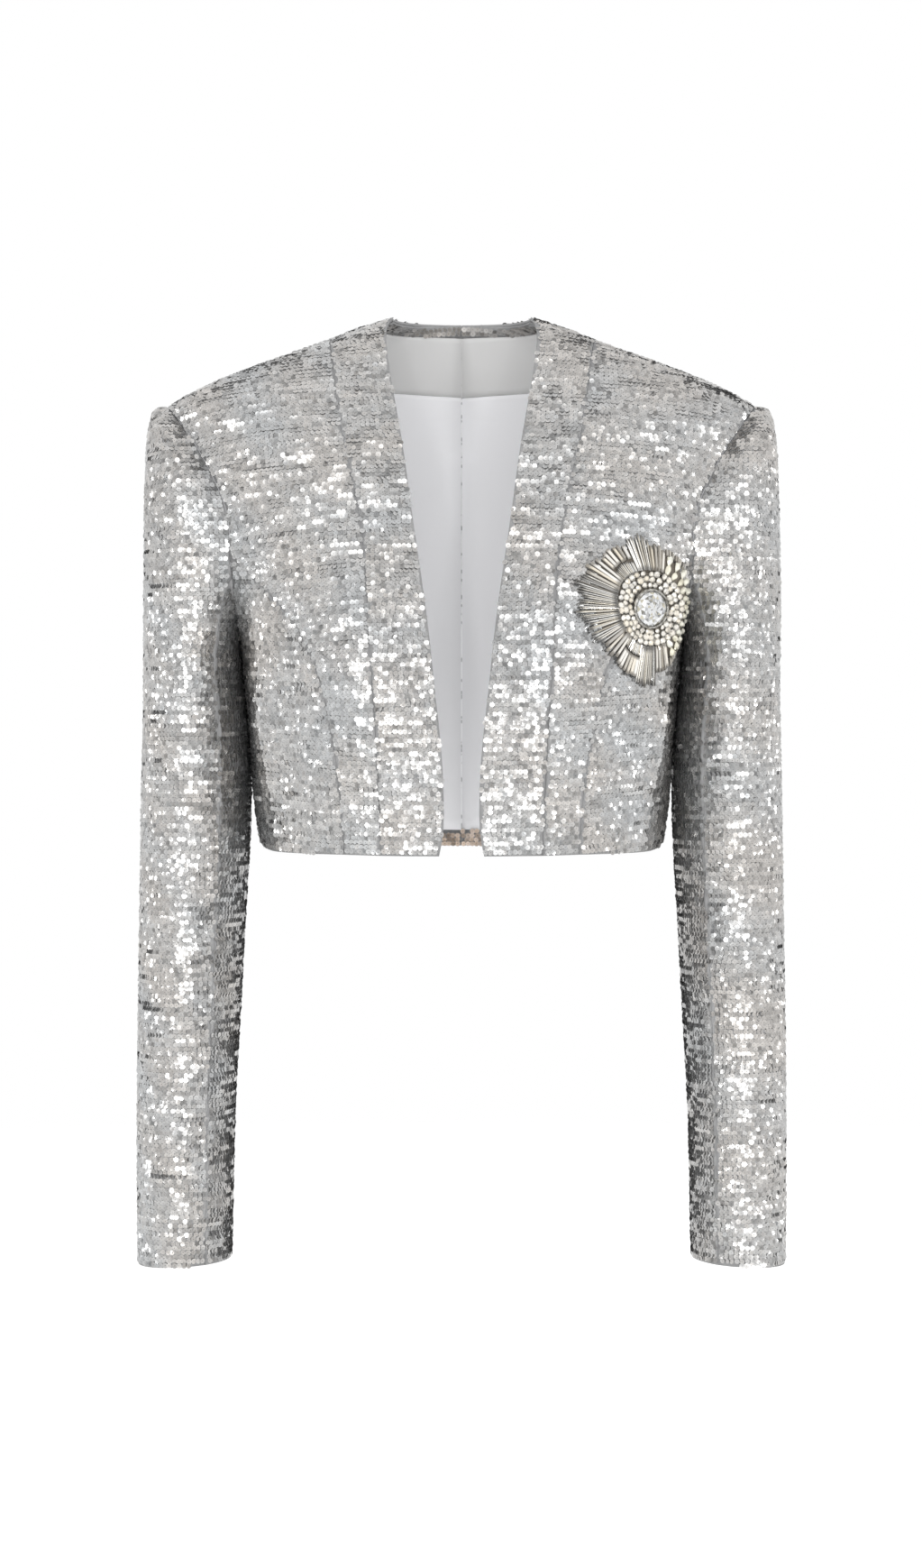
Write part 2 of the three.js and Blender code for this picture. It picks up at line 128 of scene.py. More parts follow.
class Graph:
    """Builds one node tree, node by node."""

    def __init__(self, tree: bpy.types.NodeTree) -> None:
        """Empties the tree."""
        self.tree = tree
        tree.nodes.clear()

    def node(self, kind: str, settings: dict | None = None, inputs: dict | None = None) -> bpy.types.Node:
        """Adds one node.

        Args:
            kind: The node's type.
            settings: Its properties, and a ramp's stops as (position, colour) pairs.
            inputs: Values, sockets or Values by input name or number.

        Returns:
            The node.
        """
        made = self.tree.nodes.new(kind)
        for name, value in (settings or {}).items():
            if name == "stops":
                self._stops(made.color_ramp, value)
            else:
                setattr(made, name, value)
        for name, value in (inputs or {}).items():
            self.feed(made.inputs[name], value)
        return made

    @staticmethod
    def _stops(ramp: bpy.types.ColorRamp, stops: Sequence[tuple[float, tuple]]) -> None:
        """Gives a ramp its stops."""
        while len(ramp.elements) < len(stops):
            ramp.elements.new(0.5)
        for element, (position, colour) in zip(ramp.elements, stops):
            element.position = position
            element.color = (*colour, 1.0)

    def feed(self, socket: bpy.types.NodeSocket, value: object) -> None:
        """Links a socket or a Value into an input, or sets the input to a plain value."""
        if isinstance(value, Value):
            self.tree.links.new(value.socket, socket)
        elif isinstance(value, bpy.types.NodeSocket):
            self.tree.links.new(value, socket)
        elif isinstance(value, tuple) and len(value) == 3 and socket.type == "RGBA":
            socket.default_value = (*value, 1.0)
        else:
            socket.default_value = value

    def number(self, kind: str, settings: dict, inputs: dict, output: int | str = 0) -> Value:
        """Adds a node and returns one of its outputs as a Value."""
        return Value(self, self.node(kind, settings, inputs).outputs[output])

    def mixed(self, factor: "Value | float", first: object, second: object,
              blend: str = "MIX") -> bpy.types.NodeSocket:
        """Mixes two colours.

        Args:
            factor: How much of the second shows.
            first: A colour or a colour socket.
            second: A colour or a colour socket.
            blend: The blend type.

        Returns:
            The mixed colour.
        """
        settings = {"data_type": "RGBA", "blend_type": blend, "clamp_factor": True}
        return self.node("ShaderNodeMix", settings, {0: factor, 6: first, 7: second}).outputs[2]

    def object_point(self, stretch: tuple[float, float, float] = (1.0, 1.0, 1.0)) -> bpy.types.NodeSocket:
        """The object coordinates, stretched."""
        place = self.node("ShaderNodeTexCoord").outputs["Object"]
        return self.node("ShaderNodeMapping", {}, {"Vector": place, "Scale": stretch}).outputs[0]

    def noise(self, scale: float, detail: float = 2.0, roughness: float = 0.5,
              point: bpy.types.NodeSocket | None = None) -> Value:
        """A noise value on the object coordinates, or on the given point."""
        inputs = {"Vector": point or self.object_point(), "Scale": scale, "Detail": detail,
                  "Roughness": roughness}
        return self.number("ShaderNodeTexNoise", {}, inputs)

    def parts(self, vector: bpy.types.NodeSocket) -> list[Value]:
        """The x, y and z of a vector."""
        split = self.node("ShaderNodeSeparateXYZ", {}, {0: vector})
        return [Value(self, output) for output in split.outputs]

    def tile(self) -> tuple[Value, Value, Value, Value]:
        """Reads the piece's own tile map, in which each small shape lies in one of CELLS x CELLS tiles.

        Returns:
            The tile's column and row from 0 to 1, and the place across and along it from -1 to 1.
        """
        place = self.node("ShaderNodeUVMap", {"uv_map": TILE_MAP}).outputs[0]
        across, along, _ = self.parts(place)
        across, along = across * CELLS, along * CELLS
        column, row = across.maths("FLOOR"), along.maths("FLOOR")
        return (column / (CELLS - 1), row / (CELLS - 1),
                (across - column - 0.5) / TILE_REACH, (along - row - 0.5) / TILE_REACH)

    def bump(self, height: Value, strength: float, distance: float) -> bpy.types.NodeSocket:
        """A Bump node over the height."""
        inputs = {"Height": height, "Strength": strength, "Distance": distance}
        return self.node("ShaderNodeBump", {}, inputs).outputs[0]

    def surface(self, inputs: dict) -> None:
        """Ends the material in one Principled shader."""
        shader = self.node("ShaderNodeBsdfPrincipled", {}, inputs)
        self.node("ShaderNodeOutputMaterial", {}, {"Surface": shader.outputs[0]})


def new_material(name: str) -> tuple[bpy.types.Material, Graph]:
    """An empty node material and its graph."""
    material = bpy.data.materials.new(name)
    material.use_nodes = True
    return material, Graph(material.node_tree)


@dataclass(frozen=True)
class SequinFinish:
    """Glossy cupped sequins: warmth and tone come from the tile; the hole, a painted highlight on the rim and
    a painted shadow crescent on one side come from the place in it.
    """

    name: str
    dark: Colour
    light: Colour
    warm: Colour
    cool: Colour
    metallic: float = 0.8
    roughness: float = 0.16
    hole: float = 0.17
    # Where the painted shadow crescent and the painted rim highlight begin, as shares of the sequin's reach
    shadow_from: float = 0.42
    rim: float = 0.80
    hole_colour: Colour = (0.03, 0.03, 0.03)
    painted_rim_highlight: Colour = (0.92, 0.92, 0.9)

    def material(self) -> bpy.types.Material:
        """Builds the material."""
        material, graph = new_material(self.name)
        heat, tone, across, along = graph.tile()
        radius = (across * across + along * along).maths("SQRT")
        hole = ((self.hole - radius) * 14).clamped()
        # Painted highlight: a pale band round each sequin's rim
        rim = ((radius - self.rim) * 6).clamped()
        # Painted shadow: a dark crescent on one side of each sequin's outer part, where its neighbour would
        # shade it
        shade = ((radius - self.shadow_from) * 2.6).clamped() * ((along + across * 0.5) * -0.9).clamped()
        body = graph.mixed(tone, self.dark, self.light)
        tint = graph.mixed(heat, self.warm, self.cool)
        colour = graph.mixed(1.0, body, tint, "MULTIPLY")
        colour = graph.mixed(shade * 0.5, colour, self.dark)
        colour = graph.mixed(rim * 0.35, colour, self.painted_rim_highlight)
        colour = graph.mixed(hole * 0.8, colour, self.hole_colour)
        graph.surface({
            "Base Color": colour,
            "Metallic": self.metallic,
            "Roughness": (1 - tone) * 0.22 + hole * 0.3 + self.roughness,
        })
        return material


@dataclass(frozen=True)
class BackingFinish:
    """The ground cloth under the sequins: a fine woven net with stitched rows."""

    name: str
    thread: Colour
    gap: Colour
    pitch: float = 0.7 * MM

    def material(self) -> bpy.types.Material:
        """Builds the material."""
        material, graph = new_material(self.name)
        turns = math.tau / self.pitch
        threads = [(part * turns).maths("SINE") for part in graph.parts(graph.object_point())]
        weave = (threads[0] * threads[1] + threads[2]) * 0.35 + 0.5
        mottle = graph.noise(60, 3)
        graph.surface({
            "Base Color": graph.mixed((weave * 0.5 + mottle * 0.6).clamped(), self.gap, self.thread),
            "Roughness": mottle * 0.3 + 0.5,
            "Metallic": 0.15,
            "Normal": graph.bump(weave, 0.35, 0.25 * MM),
        })
        return material


@dataclass(frozen=True)
class SatinFinish:
    """Smooth lining satin: fine weft ribs, soft wrinkles and a slight sheen. Its colour is a little lighter
    on the raised ribs and wrinkles, as painted shade, and it glows with its light colour, as painted light
    that brightens it in the shade inside the back.
    """

    name: str
    light: Colour
    shade: Colour
    roughness: float = 0.5
    sheen: float = 0.2
    # Painted light: how strongly the satin glows with its light colour
    painted_glow: float = 0.0
    rib: float = 0.9 * MM
    warp: float = 0.7 * MM
    wrinkle: Triple = (34, 34, 9)

    def material(self) -> bpy.types.Material:
        """Builds the material."""
        material, graph = new_material(self.name)
        x, _, z = graph.parts(graph.object_point())
        ribs = (z * (math.tau / self.rib)).maths("SINE") * 0.5 + 0.5
        warp = (x * (math.tau / self.warp)).maths("SINE") * 0.5 + 0.5
        folds = graph.noise(1.0, 3, 0.55, graph.object_point(self.wrinkle))
        cloudy = graph.noise(14, 3)
        height = folds + ribs * warp * 0.02
        graph.surface({
            # Painted shade: the colour is a little lighter where the ribs and wrinkles rise
            "Base Color": graph.mixed((cloudy * 0.7 + ribs * 0.12 + folds * 0.35 - 0.1).clamped(),
                                      self.shade, self.light),
            "Roughness": cloudy * 0.14 + self.roughness,
            "Sheen Weight": self.sheen,
            "Sheen Roughness": 0.35,
            # Painted light: the satin glows with its own light colour
            "Emission Color": self.light,
            "Emission Strength": self.painted_glow,
            "Normal": graph.bump(height, 0.12, 1.0 * MM),
        })
        return material


@dataclass(frozen=True)
class StoneFinish:
    """Cut crystal: the facet's tile gives its tone, from clear white through champagne to a dark glint; the
    tones are painted reflections, and the dark lines along each shape's outer edges are painted dark
    reflections.
    """

    name: str
    clear: Colour
    tint: Colour
    glint: Colour
    roughness: float = 0.05
    metallic: float = 0.5
    painted_dark_edge: float = 0.5

    def material(self) -> bpy.types.Material:
        """Builds the material."""
        material, graph = new_material(self.name)
        heat, tone, across, along = graph.tile()
        # Painted dark reflections along the outer edges of each shape
        edge = (across.maths("ABSOLUTE").maths("MAXIMUM", along.maths("ABSOLUTE")) - 0.62) * 4
        streak = graph.noise(900, 2)
        colour = graph.mixed(heat, self.clear, self.tint)
        # Painted reflections: facets of low tone turn towards the dark glint
        colour = graph.mixed((1 - tone) ** 1.6, colour, self.glint)
        colour = graph.mixed(edge.clamped() * self.painted_dark_edge, colour, self.glint)
        graph.surface({
            "Base Color": graph.mixed(streak * 0.25, colour, self.clear),
            "Metallic": self.metallic,
            "Roughness": streak * 0.08 + self.roughness,
            "Coat Weight": 0.4,
            "Coat Roughness": 0.03,
        })
        return material


@dataclass(frozen=True)
class MetalFinish:
    """A plated setting, polished, duller and darker in noisy patches."""

    name: str
    bright: Colour
    dull: Colour
    roughness: float = 0.2

    def material(self) -> bpy.types.Material:
        """Builds the material."""
        material, graph = new_material(self.name)
        dark_patches = graph.noise(420, 4, 0.6)
        scratches = graph.noise(1.0, 2, 0.5, graph.object_point((2600, 300, 2600)))
        graph.surface({
            "Base Color": graph.mixed(((dark_patches - 0.35) * 2.5).clamped(), self.dull, self.bright),
            "Metallic": 1.0,
            "Roughness": dark_patches * 0.25 + self.roughness,
            "Normal": graph.bump(scratches, 0.15, 0.05 * MM),
        })
        return material


@dataclass(frozen=True)
class FloorFinish:
    """A pale studio floor that fades into its surroundings."""

    name: str = "pale_floor"
    fade_from: float = 1.1
    fade_to: float = 2.6

    def material(self) -> bpy.types.Material:
        """Builds the material."""
        material, graph = new_material(self.name)
        x, y, _ = graph.parts(graph.object_point())
        out = (x * x + y * y).maths("SQRT")
        mottle = graph.noise(3, 2)
        graph.surface({
            "Base Color": graph.mixed(mottle, (0.9, 0.9, 0.9), (0.95, 0.95, 0.94)),
            "Roughness": mottle * 0.1 + 0.6,
            "Alpha": ((self.fade_to - out) / (self.fade_to - self.fade_from)).clamped(),
        })
        return material


class Finish(Enum):
    """The finishes that the blazer is made in."""

    SEQUINS = SequinFinish("silver_sequins", (0.17, 0.17, 0.17), (0.57, 0.565, 0.56),
                           (1.0, 0.965, 0.93), (0.955, 0.98, 1.0))
    # A darker, duller copy of the sequins for the strip inside the back neck: its darker colours are painted
    # shade
    INNER_SEQUINS = SequinFinish("shaded_silver_sequins_inside", (0.15, 0.15, 0.145), (0.44, 0.435, 0.43),
                                 (1.0, 0.95, 0.9), (0.95, 0.97, 1.0), metallic=0.45, roughness=0.5)
    HEM_SEQUINS = SequinFinish("shaded_hem_sequins", (0.10, 0.09, 0.08), (0.62, 0.55, 0.50),
                               (1.0, 0.9, 0.8), (0.95, 0.95, 1.0), metallic=0.7, roughness=0.3)
    BACKING = BackingFinish("grey_backing", (0.42, 0.42, 0.42), (0.13, 0.13, 0.135))
    # The facing and the lining glow a little: painted light that brightens them in the shade inside the back
    FACING = SatinFinish("warm_facing", (0.585, 0.583, 0.58), (0.56, 0.558, 0.555),
                         roughness=0.7, sheen=0.15, painted_glow=0.16)
    LINING = SatinFinish("cool_lining", (0.69, 0.69, 0.705), (0.66, 0.66, 0.675), roughness=0.7, painted_glow=0.3)
    CRYSTAL = StoneFinish("clear_crystal", (0.80, 0.81, 0.82), (0.50, 0.45, 0.30), (0.025, 0.025, 0.022),
                          roughness=0.05, metallic=0.75, painted_dark_edge=0.2)
    RHINESTONE = StoneFinish("champagne_rhinestone", (0.93, 0.91, 0.86), (0.83, 0.75, 0.61),
                             (0.14, 0.11, 0.08), roughness=0.06, metallic=0.5, painted_dark_edge=0.35)
    BAGUETTE = StoneFinish("champagne_baguette", (0.90, 0.88, 0.84), (0.76, 0.68, 0.54),
                           (0.09, 0.075, 0.055), roughness=0.06, metallic=0.6, painted_dark_edge=0.85)
    BUGLE = StoneFinish("silver_lined_bugle", (0.86, 0.85, 0.82), (0.70, 0.63, 0.50), (0.06, 0.055, 0.05),
                        roughness=0.1, metallic=0.75, painted_dark_edge=0.9)
    LEAF = StoneFinish("pale_leaf_stone", (0.90, 0.90, 0.83), (0.80, 0.75, 0.58), (0.33, 0.30, 0.2),
                       roughness=0.08, metallic=0.4, painted_dark_edge=0.45)
    SETTING = MetalFinish("silver_setting", (0.70, 0.69, 0.66), (0.16, 0.15, 0.13))
    FELT = BackingFinish("dark_sewn_base", (0.24, 0.21, 0.17), (0.06, 0.052, 0.042))

    @property
    def made(self) -> bpy.types.Material:
        """The finish's material, built the first time that it is asked for."""
        return bpy.data.materials.get(self.value.name) or self.value.material()


# Meshes


def add_object(name: str, mesh: bpy.types.Mesh, *finishes: Finish) -> bpy.types.Object:
    """Puts a mesh in the scene as an object at the origin.

    Args:
        name: The piece's name.
        mesh: Its mesh, already in place.
        finishes: Its finishes, in the order of the mesh's material numbers.

    Returns:
        The object.
    """
    mesh.name = name
    mesh.materials.clear()
    for finish in finishes:
        mesh.materials.append(finish.made)
    piece = bpy.data.objects.new(name, mesh)
    bpy.context.scene.collection.objects.link(piece)
    return piece


def mount(piece: bpy.types.Object, slot: str, *nodes: str) -> bpy.types.Object:
    """Makes a piece ride on the blazer and hides the nodes that it stands for."""
    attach(piece, "root")
    if nodes:
        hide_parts(*nodes)
    LOG.info("%s: %d faces", piece.name, len(piece.data.polygons))
    return piece


def mesh_of(bm: bmesh.types.BMesh, name: str, smooth: bool = False) -> bpy.types.Mesh:
    """Makes a bmesh a mesh, shaded smooth or flat, and frees the bmesh."""
    mesh = bpy.data.meshes.new(name)
    bm.to_mesh(mesh)
    bm.free()
    mesh.polygons.foreach_set("use_smooth", np.full(len(mesh.polygons), smooth))
    return mesh


def picked_tiles(heat: np.ndarray, tone: np.ndarray) -> np.ndarray:
    """The whole tile numbers for a warmth and a tone that are each given from 0 to CELLS - 1."""
    return np.clip(np.stack([heat, tone], axis=-1).round(), 0, CELLS - 1)


@dataclass
class Stamp:
    """One small shape that is repeated on the cloth as a joined mesh."""

    points: np.ndarray
    faces: list[list[int]]
    reach: float

    @classmethod
    def of(cls, bm: bmesh.types.BMesh) -> "Stamp":
        """Takes the shape from a bmesh and frees that."""
        bm.verts.index_update()
        points = np.array([v.co[:] for v in bm.verts])
        faces = [[v.index for v in f.verts] for f in bm.faces]
        bm.free()
        return cls(points, faces, float(np.abs(points[:, :2]).max()))

    def repeated(self, places: np.ndarray, axes: np.ndarray, tiles: np.ndarray,
                 smooth: bool) -> bpy.types.Mesh:
        """Repeats the shape.

        Args:
            places: Where each copy's origin is, (n, 3).
            axes: Each copy's x, y and z axes as rows, with their scale, (n, 3, 3).
            tiles: Each copy's tile, (n, 2), or each of its faces' tiles, (n, faces, 2).
            smooth: Whether the copies are shaded smooth.

        Returns:
            The joined mesh, with its tile map.
        """
        count, per = len(places), len(self.points)
        points = places[:, None, :] + np.einsum("pk,nkj->npj", self.points, axes)
        corners = np.concatenate([np.array(face) for face in self.faces])
        sizes = np.array([len(face) for face in self.faces])
        index = (np.arange(count)[:, None] * per + corners[None, :]).ravel()
        starts = np.concatenate([[0], np.cumsum(np.tile(sizes, count))[:-1]])
        if tiles.ndim == 2:
            tiles = np.repeat(tiles[:, None, :], len(self.faces), axis=1)
        tile = np.repeat(tiles, sizes, axis=1)
        inner = self.points[corners][:, :2] / self.reach
        uv = (tile + 0.5 + inner[None, :, :] * TILE_REACH) / CELLS
        mesh = bpy.data.meshes.new("stamped")
        mesh.vertices.add(count * per)
        mesh.vertices.foreach_set("co", points.ravel())
        mesh.loops.add(len(index))
        mesh.loops.foreach_set("vertex_index", index.astype(np.int32))
        mesh.polygons.add(len(starts))
        mesh.polygons.foreach_set("loop_start", starts.astype(np.int32))
        mesh.uv_layers.new(name=TILE_MAP).data.foreach_set("uv", uv.ravel())
        mesh.update(calc_edges=True)
        mesh.polygons.foreach_set("use_smooth", np.full(len(starts), smooth))
        return mesh


def cupped_sequin(radius: float, dip: float) -> Stamp:
    """A round sequin with its middle pressed in."""
    bm = bmesh.new()
    bmesh.ops.create_circle(bm, cap_ends=True, radius=radius, segments=8)
    middle = bmesh.ops.poke(bm, faces=bm.faces[:])["verts"]
    bmesh.ops.translate(bm, verts=middle, vec=(0, 0, -dip))
    bmesh.ops.recalc_face_normals(bm, faces=bm.faces[:])
    if sum(f.normal.z for f in bm.faces) < 0:
        bmesh.ops.reverse_faces(bm, faces=bm.faces[:])
    return Stamp.of(bm)


def rod(sides: int) -> Stamp:
    """A bead that reaches one unit each way, round its y axis, with flat ends."""
    bm = bmesh.new()
    bmesh.ops.create_cone(bm, cap_ends=True, segments=sides, radius1=1.0, radius2=1.0, depth=2.0)
    bmesh.ops.rotate(bm, cent=(0, 0, 0), matrix=Matrix.Rotation(-math.pi / 2, 3, "X"), verts=bm.verts)
    bmesh.ops.rotate(bm, cent=(0, 0, 0), matrix=Matrix.Rotation(math.pi / sides, 3, "Y"), verts=bm.verts)
    return Stamp.of(bm)


def cut_stone(sides: int, table: float, girdle: float = 0.35) -> Stamp:
    """A stone two units wide and one high: a straight girdle, a slanted crown and a flat table."""
    bm = bmesh.new()
    bmesh.ops.create_circle(bm, cap_ends=True, radius=1.0, segments=sides)
    base = bm.faces[:]
    walls = bmesh.ops.extrude_face_region(bm, geom=base)
    top = [item for item in walls["geom"] if isinstance(item, bmesh.types.BMVert)]
    bmesh.ops.translate(bm, verts=top, vec=(0, 0, girdle))
    lid = [f for f in bm.faces if all(v in top for v in f.verts)]
    bmesh.ops.inset_region(bm, faces=lid, thickness=1.0 - table, depth=0.0, use_even_offset=True)
    lid = [f for f in bm.faces if len(f.verts) == sides and f.calc_center_median().z > girdle / 2]
    bmesh.ops.translate(bm, verts=list(lid[0].verts), vec=(0, 0, 1.0 - girdle))
    bmesh.ops.recalc_face_normals(bm, faces=bm.faces[:])
    return Stamp.of(bm)


# The cloth


class Part(Enum):
    """Which part of the blazer a cut piece belongs to."""

    FRONT = "front"
    BACK = "back"
    SLEEVE = "sleeve"


@dataclass(frozen=True)
class Fold:
    """A soft fold that is pressed in or lifted along a line on the cloth, in millimetres."""

    start: Triple
    end: Triple
    width: float
    lift: float
    blunt: float = 0.12

    def heights(self, points: np.ndarray) -> np.ndarray:
        """How far each point moves out, in metres."""
        a, b = np.array(self.start) * MM, np.array(self.end) * MM
        along = b - a
        share = np.clip((points - a) @ along / (along @ along), 0, 1)
        away = np.linalg.norm(points - (a + share[:, None] * along), axis=1)
        taper = np.sin(np.pi * (self.blunt + (1 - 2 * self.blunt) * share)) ** 1.2
        return self.lift * MM * taper * np.exp(-((away / (self.width * MM)) ** 2))


@dataclass
class Drape:
    """The soft folds of the worn cloth, which move every layer that lies there alike.

    The tuck, in metres, moves a sleeve's inner side in where it lies against the body.
    """

    side_share: float = 0.35
    tuck: float = 1.7 * MM
    tuck_height: float = -0.28
    tuck_reach: float = 0.036
    tuck_fade: float = 0.02
    left_folds: tuple[Fold, ...] = (
        Fold((168, -44, -352), (214, -52, -368), 10, -2.0),
        Fold((176, -52, -384), (226, -18, -410), 9, 1.8),
        Fold((166, -34, -420), (206, -56, -432), 11, -1.7),
        Fold((226, 10, -380), (200, 44, -398), 11, -2.2),
        Fold((222, 28, -420), (176, 44, -436), 12, 2.0),
        Fold((186, -52, -560), (216, -44, -590), 10, 1.4),
        Fold((214, 22, -500), (188, 34, -530), 12, -1.6),
        Fold((228, -8, -150), (226, 2, -240), 14, 1.2),
    )
    right_folds: tuple[Fold, ...] = (
        Fold((-166, -44, -372), (-216, -50, -356), 11, -1.9),
        Fold((-172, -50, -408), (-226, -20, -392), 10, 1.8),
        Fold((-168, -36, -446), (-208, -54, -440), 10, -1.5),
        Fold((-226, 12, -366), (-198, 44, -388), 12, -2.1),
        Fold((-224, 26, -432), (-178, 44, -446), 11, 1.7),
        Fold((-184, -50, -540), (-218, -40, -572), 11, 1.5),
        Fold((-212, 24, -520), (-188, 34, -552), 12, -1.6),
    )
    body_folds: tuple[Fold, ...] = (
        Fold((62, -122, -300), (74, -118, -372), 13, 1.6),
        Fold((104, -108, -318), (110, -100, -376), 12, -1.5),
        Fold((-58, -122, -312), (-68, -118, -376), 12, -1.6),
        Fold((-98, -110, -300), (-112, -100, -374), 14, 1.7),
        Fold((-122, -92, -180), (-140, -70, -250), 12, 1.3),
        Fold((60, 92, -120), (108, 84, -250), 16, 1.8),
        Fold((-56, 92, -130), (-112, 84, -236), 15, 1.6),
        Fold((30, 88, -270), (44, 84, -372), 13, -1.9),
        Fold((-36, 88, -250), (-28, 84, -372), 15, 1.8),
        Fold((88, 84, -290), (96, 78, -374), 13, 1.6),
        Fold((-90, 82, -300), (-84, 78, -374), 12, -1.7),
        Fold((148, 0, -300), (148, -4, -400), 34, 4.0),
        Fold((-148, 0, -300), (-148, -4, -400), 34, 4.0),
        Fold((141, -62, -215), (136, -58, -378), 17, 8.0),
        Fold((-141, -62, -205), (-136, -58, -378), 17, 8.0),
    )

    def moved(self, points: np.ndarray, part: Part) -> np.ndarray:
        """Moves points with the folds.

        Args:
            points: The points, (n, 3), in metres.
            part: The part of the blazer that they belong to.

        Returns:
            The moved points.
        """
        if part is Part.SLEEVE:
            side = np.sign(points[:, 0].mean())
            folds = self.left_folds if side > 0 else self.right_folds
            points = self._tucked(points, side)
            out = points - np.array([side * SLEEVE_MIDDLE[0], SLEEVE_MIDDLE[1], 0])
        else:
            folds = self.body_folds
            out = points * np.array([self.side_share, 1, 0])
        out[:, 2] = 0
        out /= np.maximum(np.linalg.norm(out, axis=1, keepdims=True), 1e-6)
        heights = sum(fold.heights(points) for fold in folds)
        return points + out * heights[:, None]

    def _tucked(self, points: np.ndarray, side: float) -> np.ndarray:
        """Lets the sleeve's inner side lie against the body above the hem."""
        inner = np.clip((SLEEVE_MIDDLE[0] - points[:, 0] * side) / self.tuck_fade, 0, 1)
        moved = points.copy()
        near = np.exp(-(((points[:, 2] - self.tuck_height) / self.tuck_reach) ** 2))
        moved[:, 0] -= side * self.tuck * inner * near
        return moved


@dataclass
class Sheet:
    """The side of a cut piece that shows, as triangles, with the flat cut's two coordinates at each point."""

    points: np.ndarray
    triangles: np.ndarray
    part: Part
    turn_from: float = 0.55
    turn_over: float = 0.35
    areas: np.ndarray = field(init=False)
    normals: np.ndarray = field(init=False)
    weft: np.ndarray = field(init=False)
    across: np.ndarray = field(init=False)
    along: np.ndarray = field(init=False)

    def __post_init__(self) -> None:
        """Flattens the sheet by least squares, so that the rows keep their direction on each triangle."""
        a, b, c = (self.points[self.triangles[:, i]] for i in range(3))
        cross = np.cross(b - a, c - a)
        self.areas = np.linalg.norm(cross, axis=1) / 2
        self.normals = cross / np.maximum(2 * self.areas[:, None], 1e-12)
        self.weft = self._row_direction()
        warp = np.cross(self.normals, self.weft)
        hats = [np.cross(self.normals, edge) / np.maximum(2 * self.areas[:, None], 1e-12)
                for edge in (c - b, a - c, b - a)]
        count = len(self.points)
        matrix = np.zeros((count, count))
        wants = np.zeros((count, 2))
        for i in range(3):
            rows = self.triangles[:, i]
            for k, wish in enumerate((self.weft, warp)):
                np.add.at(wants[:, k], rows, self.areas * np.einsum("nj,nj->n", hats[i], wish))
            for j in range(3):
                weights = self.areas * np.einsum("nj,nj->n", hats[i], hats[j])
                np.add.at(matrix, (rows, self.triangles[:, j]), weights)
        matrix += np.eye(count) * matrix.diagonal().max() * 1e-9
        solved = np.linalg.solve(matrix, wants)
        self.across = solved[:, 0] - solved[:, 0].min()
        self.along = solved[:, 1] - solved[:, 1].min()

    def _row_direction(self) -> np.ndarray:
        """The direction of the rows on each triangle: along x in front and behind, level at the sides."""
        around = np.cross((0.0, 0.0, 1.0), self.normals)
        if self.part is not Part.SLEEVE:
            side = 1.0 if self.part is Part.FRONT else -1.0
            plain = side * (np.array([1.0, 0, 0]) - self.normals[:, :1] * self.normals)
            turn = np.clip((np.abs(self.normals[:, :1]) - self.turn_from) / self.turn_over, 0, 1)
            around = around * turn + plain * (1 - turn)
        return around / np.maximum(np.linalg.norm(around, axis=1, keepdims=True), 1e-9)

    @property
    def flat(self) -> tuple[float, float]:
        """The width and length of the cut."""
        return float(self.across.max()), float(self.along.max())

    def lattice(self, pitch: float, row: float, rng: np.random.Generator) -> dict[str, np.ndarray]:
        """Finds the points of a row pattern on the sheet.

        Args:
            pitch: The distance along a row.
            row: The distance between rows.
            rng: The source of the small irregularities.

        Returns:
            Arrays by name: place, normal, weft, row number and number along the row.
        """
        rows = int(self.along.max() / row) + 2
        start = rng.uniform(-0.5, 0.5, rows) * pitch
        stretch = pitch * rng.uniform(0.96, 1.05, rows)
        found: dict[str, list] = {"place": [], "normal": [], "weft": [], "row": [], "item": []}
        uv = np.stack([self.across, self.along], axis=1)
        for t, corners in enumerate(self.triangles):
            p, q, r = self.points[corners]
            for k, i, v, w in self._inside(uv[corners], row, start, stretch):
                found["place"].append(p + v * (q - p) + w * (r - p))
                found["normal"].append(self.normals[t])
                found["weft"].append(self.weft[t])
                found["row"].append(k)
                found["item"].append(i)
        return {name: np.array(values) for name, values in found.items()}

    @staticmethod
    def _inside(flat: np.ndarray, row: float, start: np.ndarray,
                stretch: np.ndarray) -> Iterator[tuple[int, int, float, float]]:
        """Finds the points of the row pattern in one flat triangle.

        Args:
            flat: The triangle's corners on the flat cut, (3, 2).
            row: The distance between rows.
            start: Where each row starts.
            stretch: The distance along each row.

        Yields:
            The row, the number along it, and the shares of the triangle's two sides.
        """
        (ax, ay), (bx, by), (cx, cy) = flat
        whole = (bx - ax) * (cy - ay) - (cx - ax) * (by - ay)
        if abs(whole) < 1e-12:
            return
        low, high = min(ax, bx, cx), max(ax, bx, cx)
        for k in range(math.ceil(min(ay, by, cy) / row), math.floor(max(ay, by, cy) / row) + 1):
            y = k * row
            first = math.ceil((low - start[k]) / stretch[k])
            last = math.floor((high - start[k]) / stretch[k])
            for i in range(first, last + 1):
                x = start[k] + i * stretch[k]
                v = ((x - ax) * (cy - ay) - (cx - ax) * (y - ay)) / whole
                w = ((bx - ax) * (y - ay) - (x - ax) * (by - ay)) / whole
                if v >= 0 and w >= 0 and v + w <= 1:
                    yield k, i, v, w


def turned(first: np.ndarray, second: np.ndarray, angles: np.ndarray) -> tuple[np.ndarray, np.ndarray]:
    """Turns pairs of perpendicular axes, the first towards the second, by an angle for each pair."""
    cos, sin = np.cos(angles)[:, None], np.sin(angles)[:, None]
    return first * cos + second * sin, second * cos - first * sin


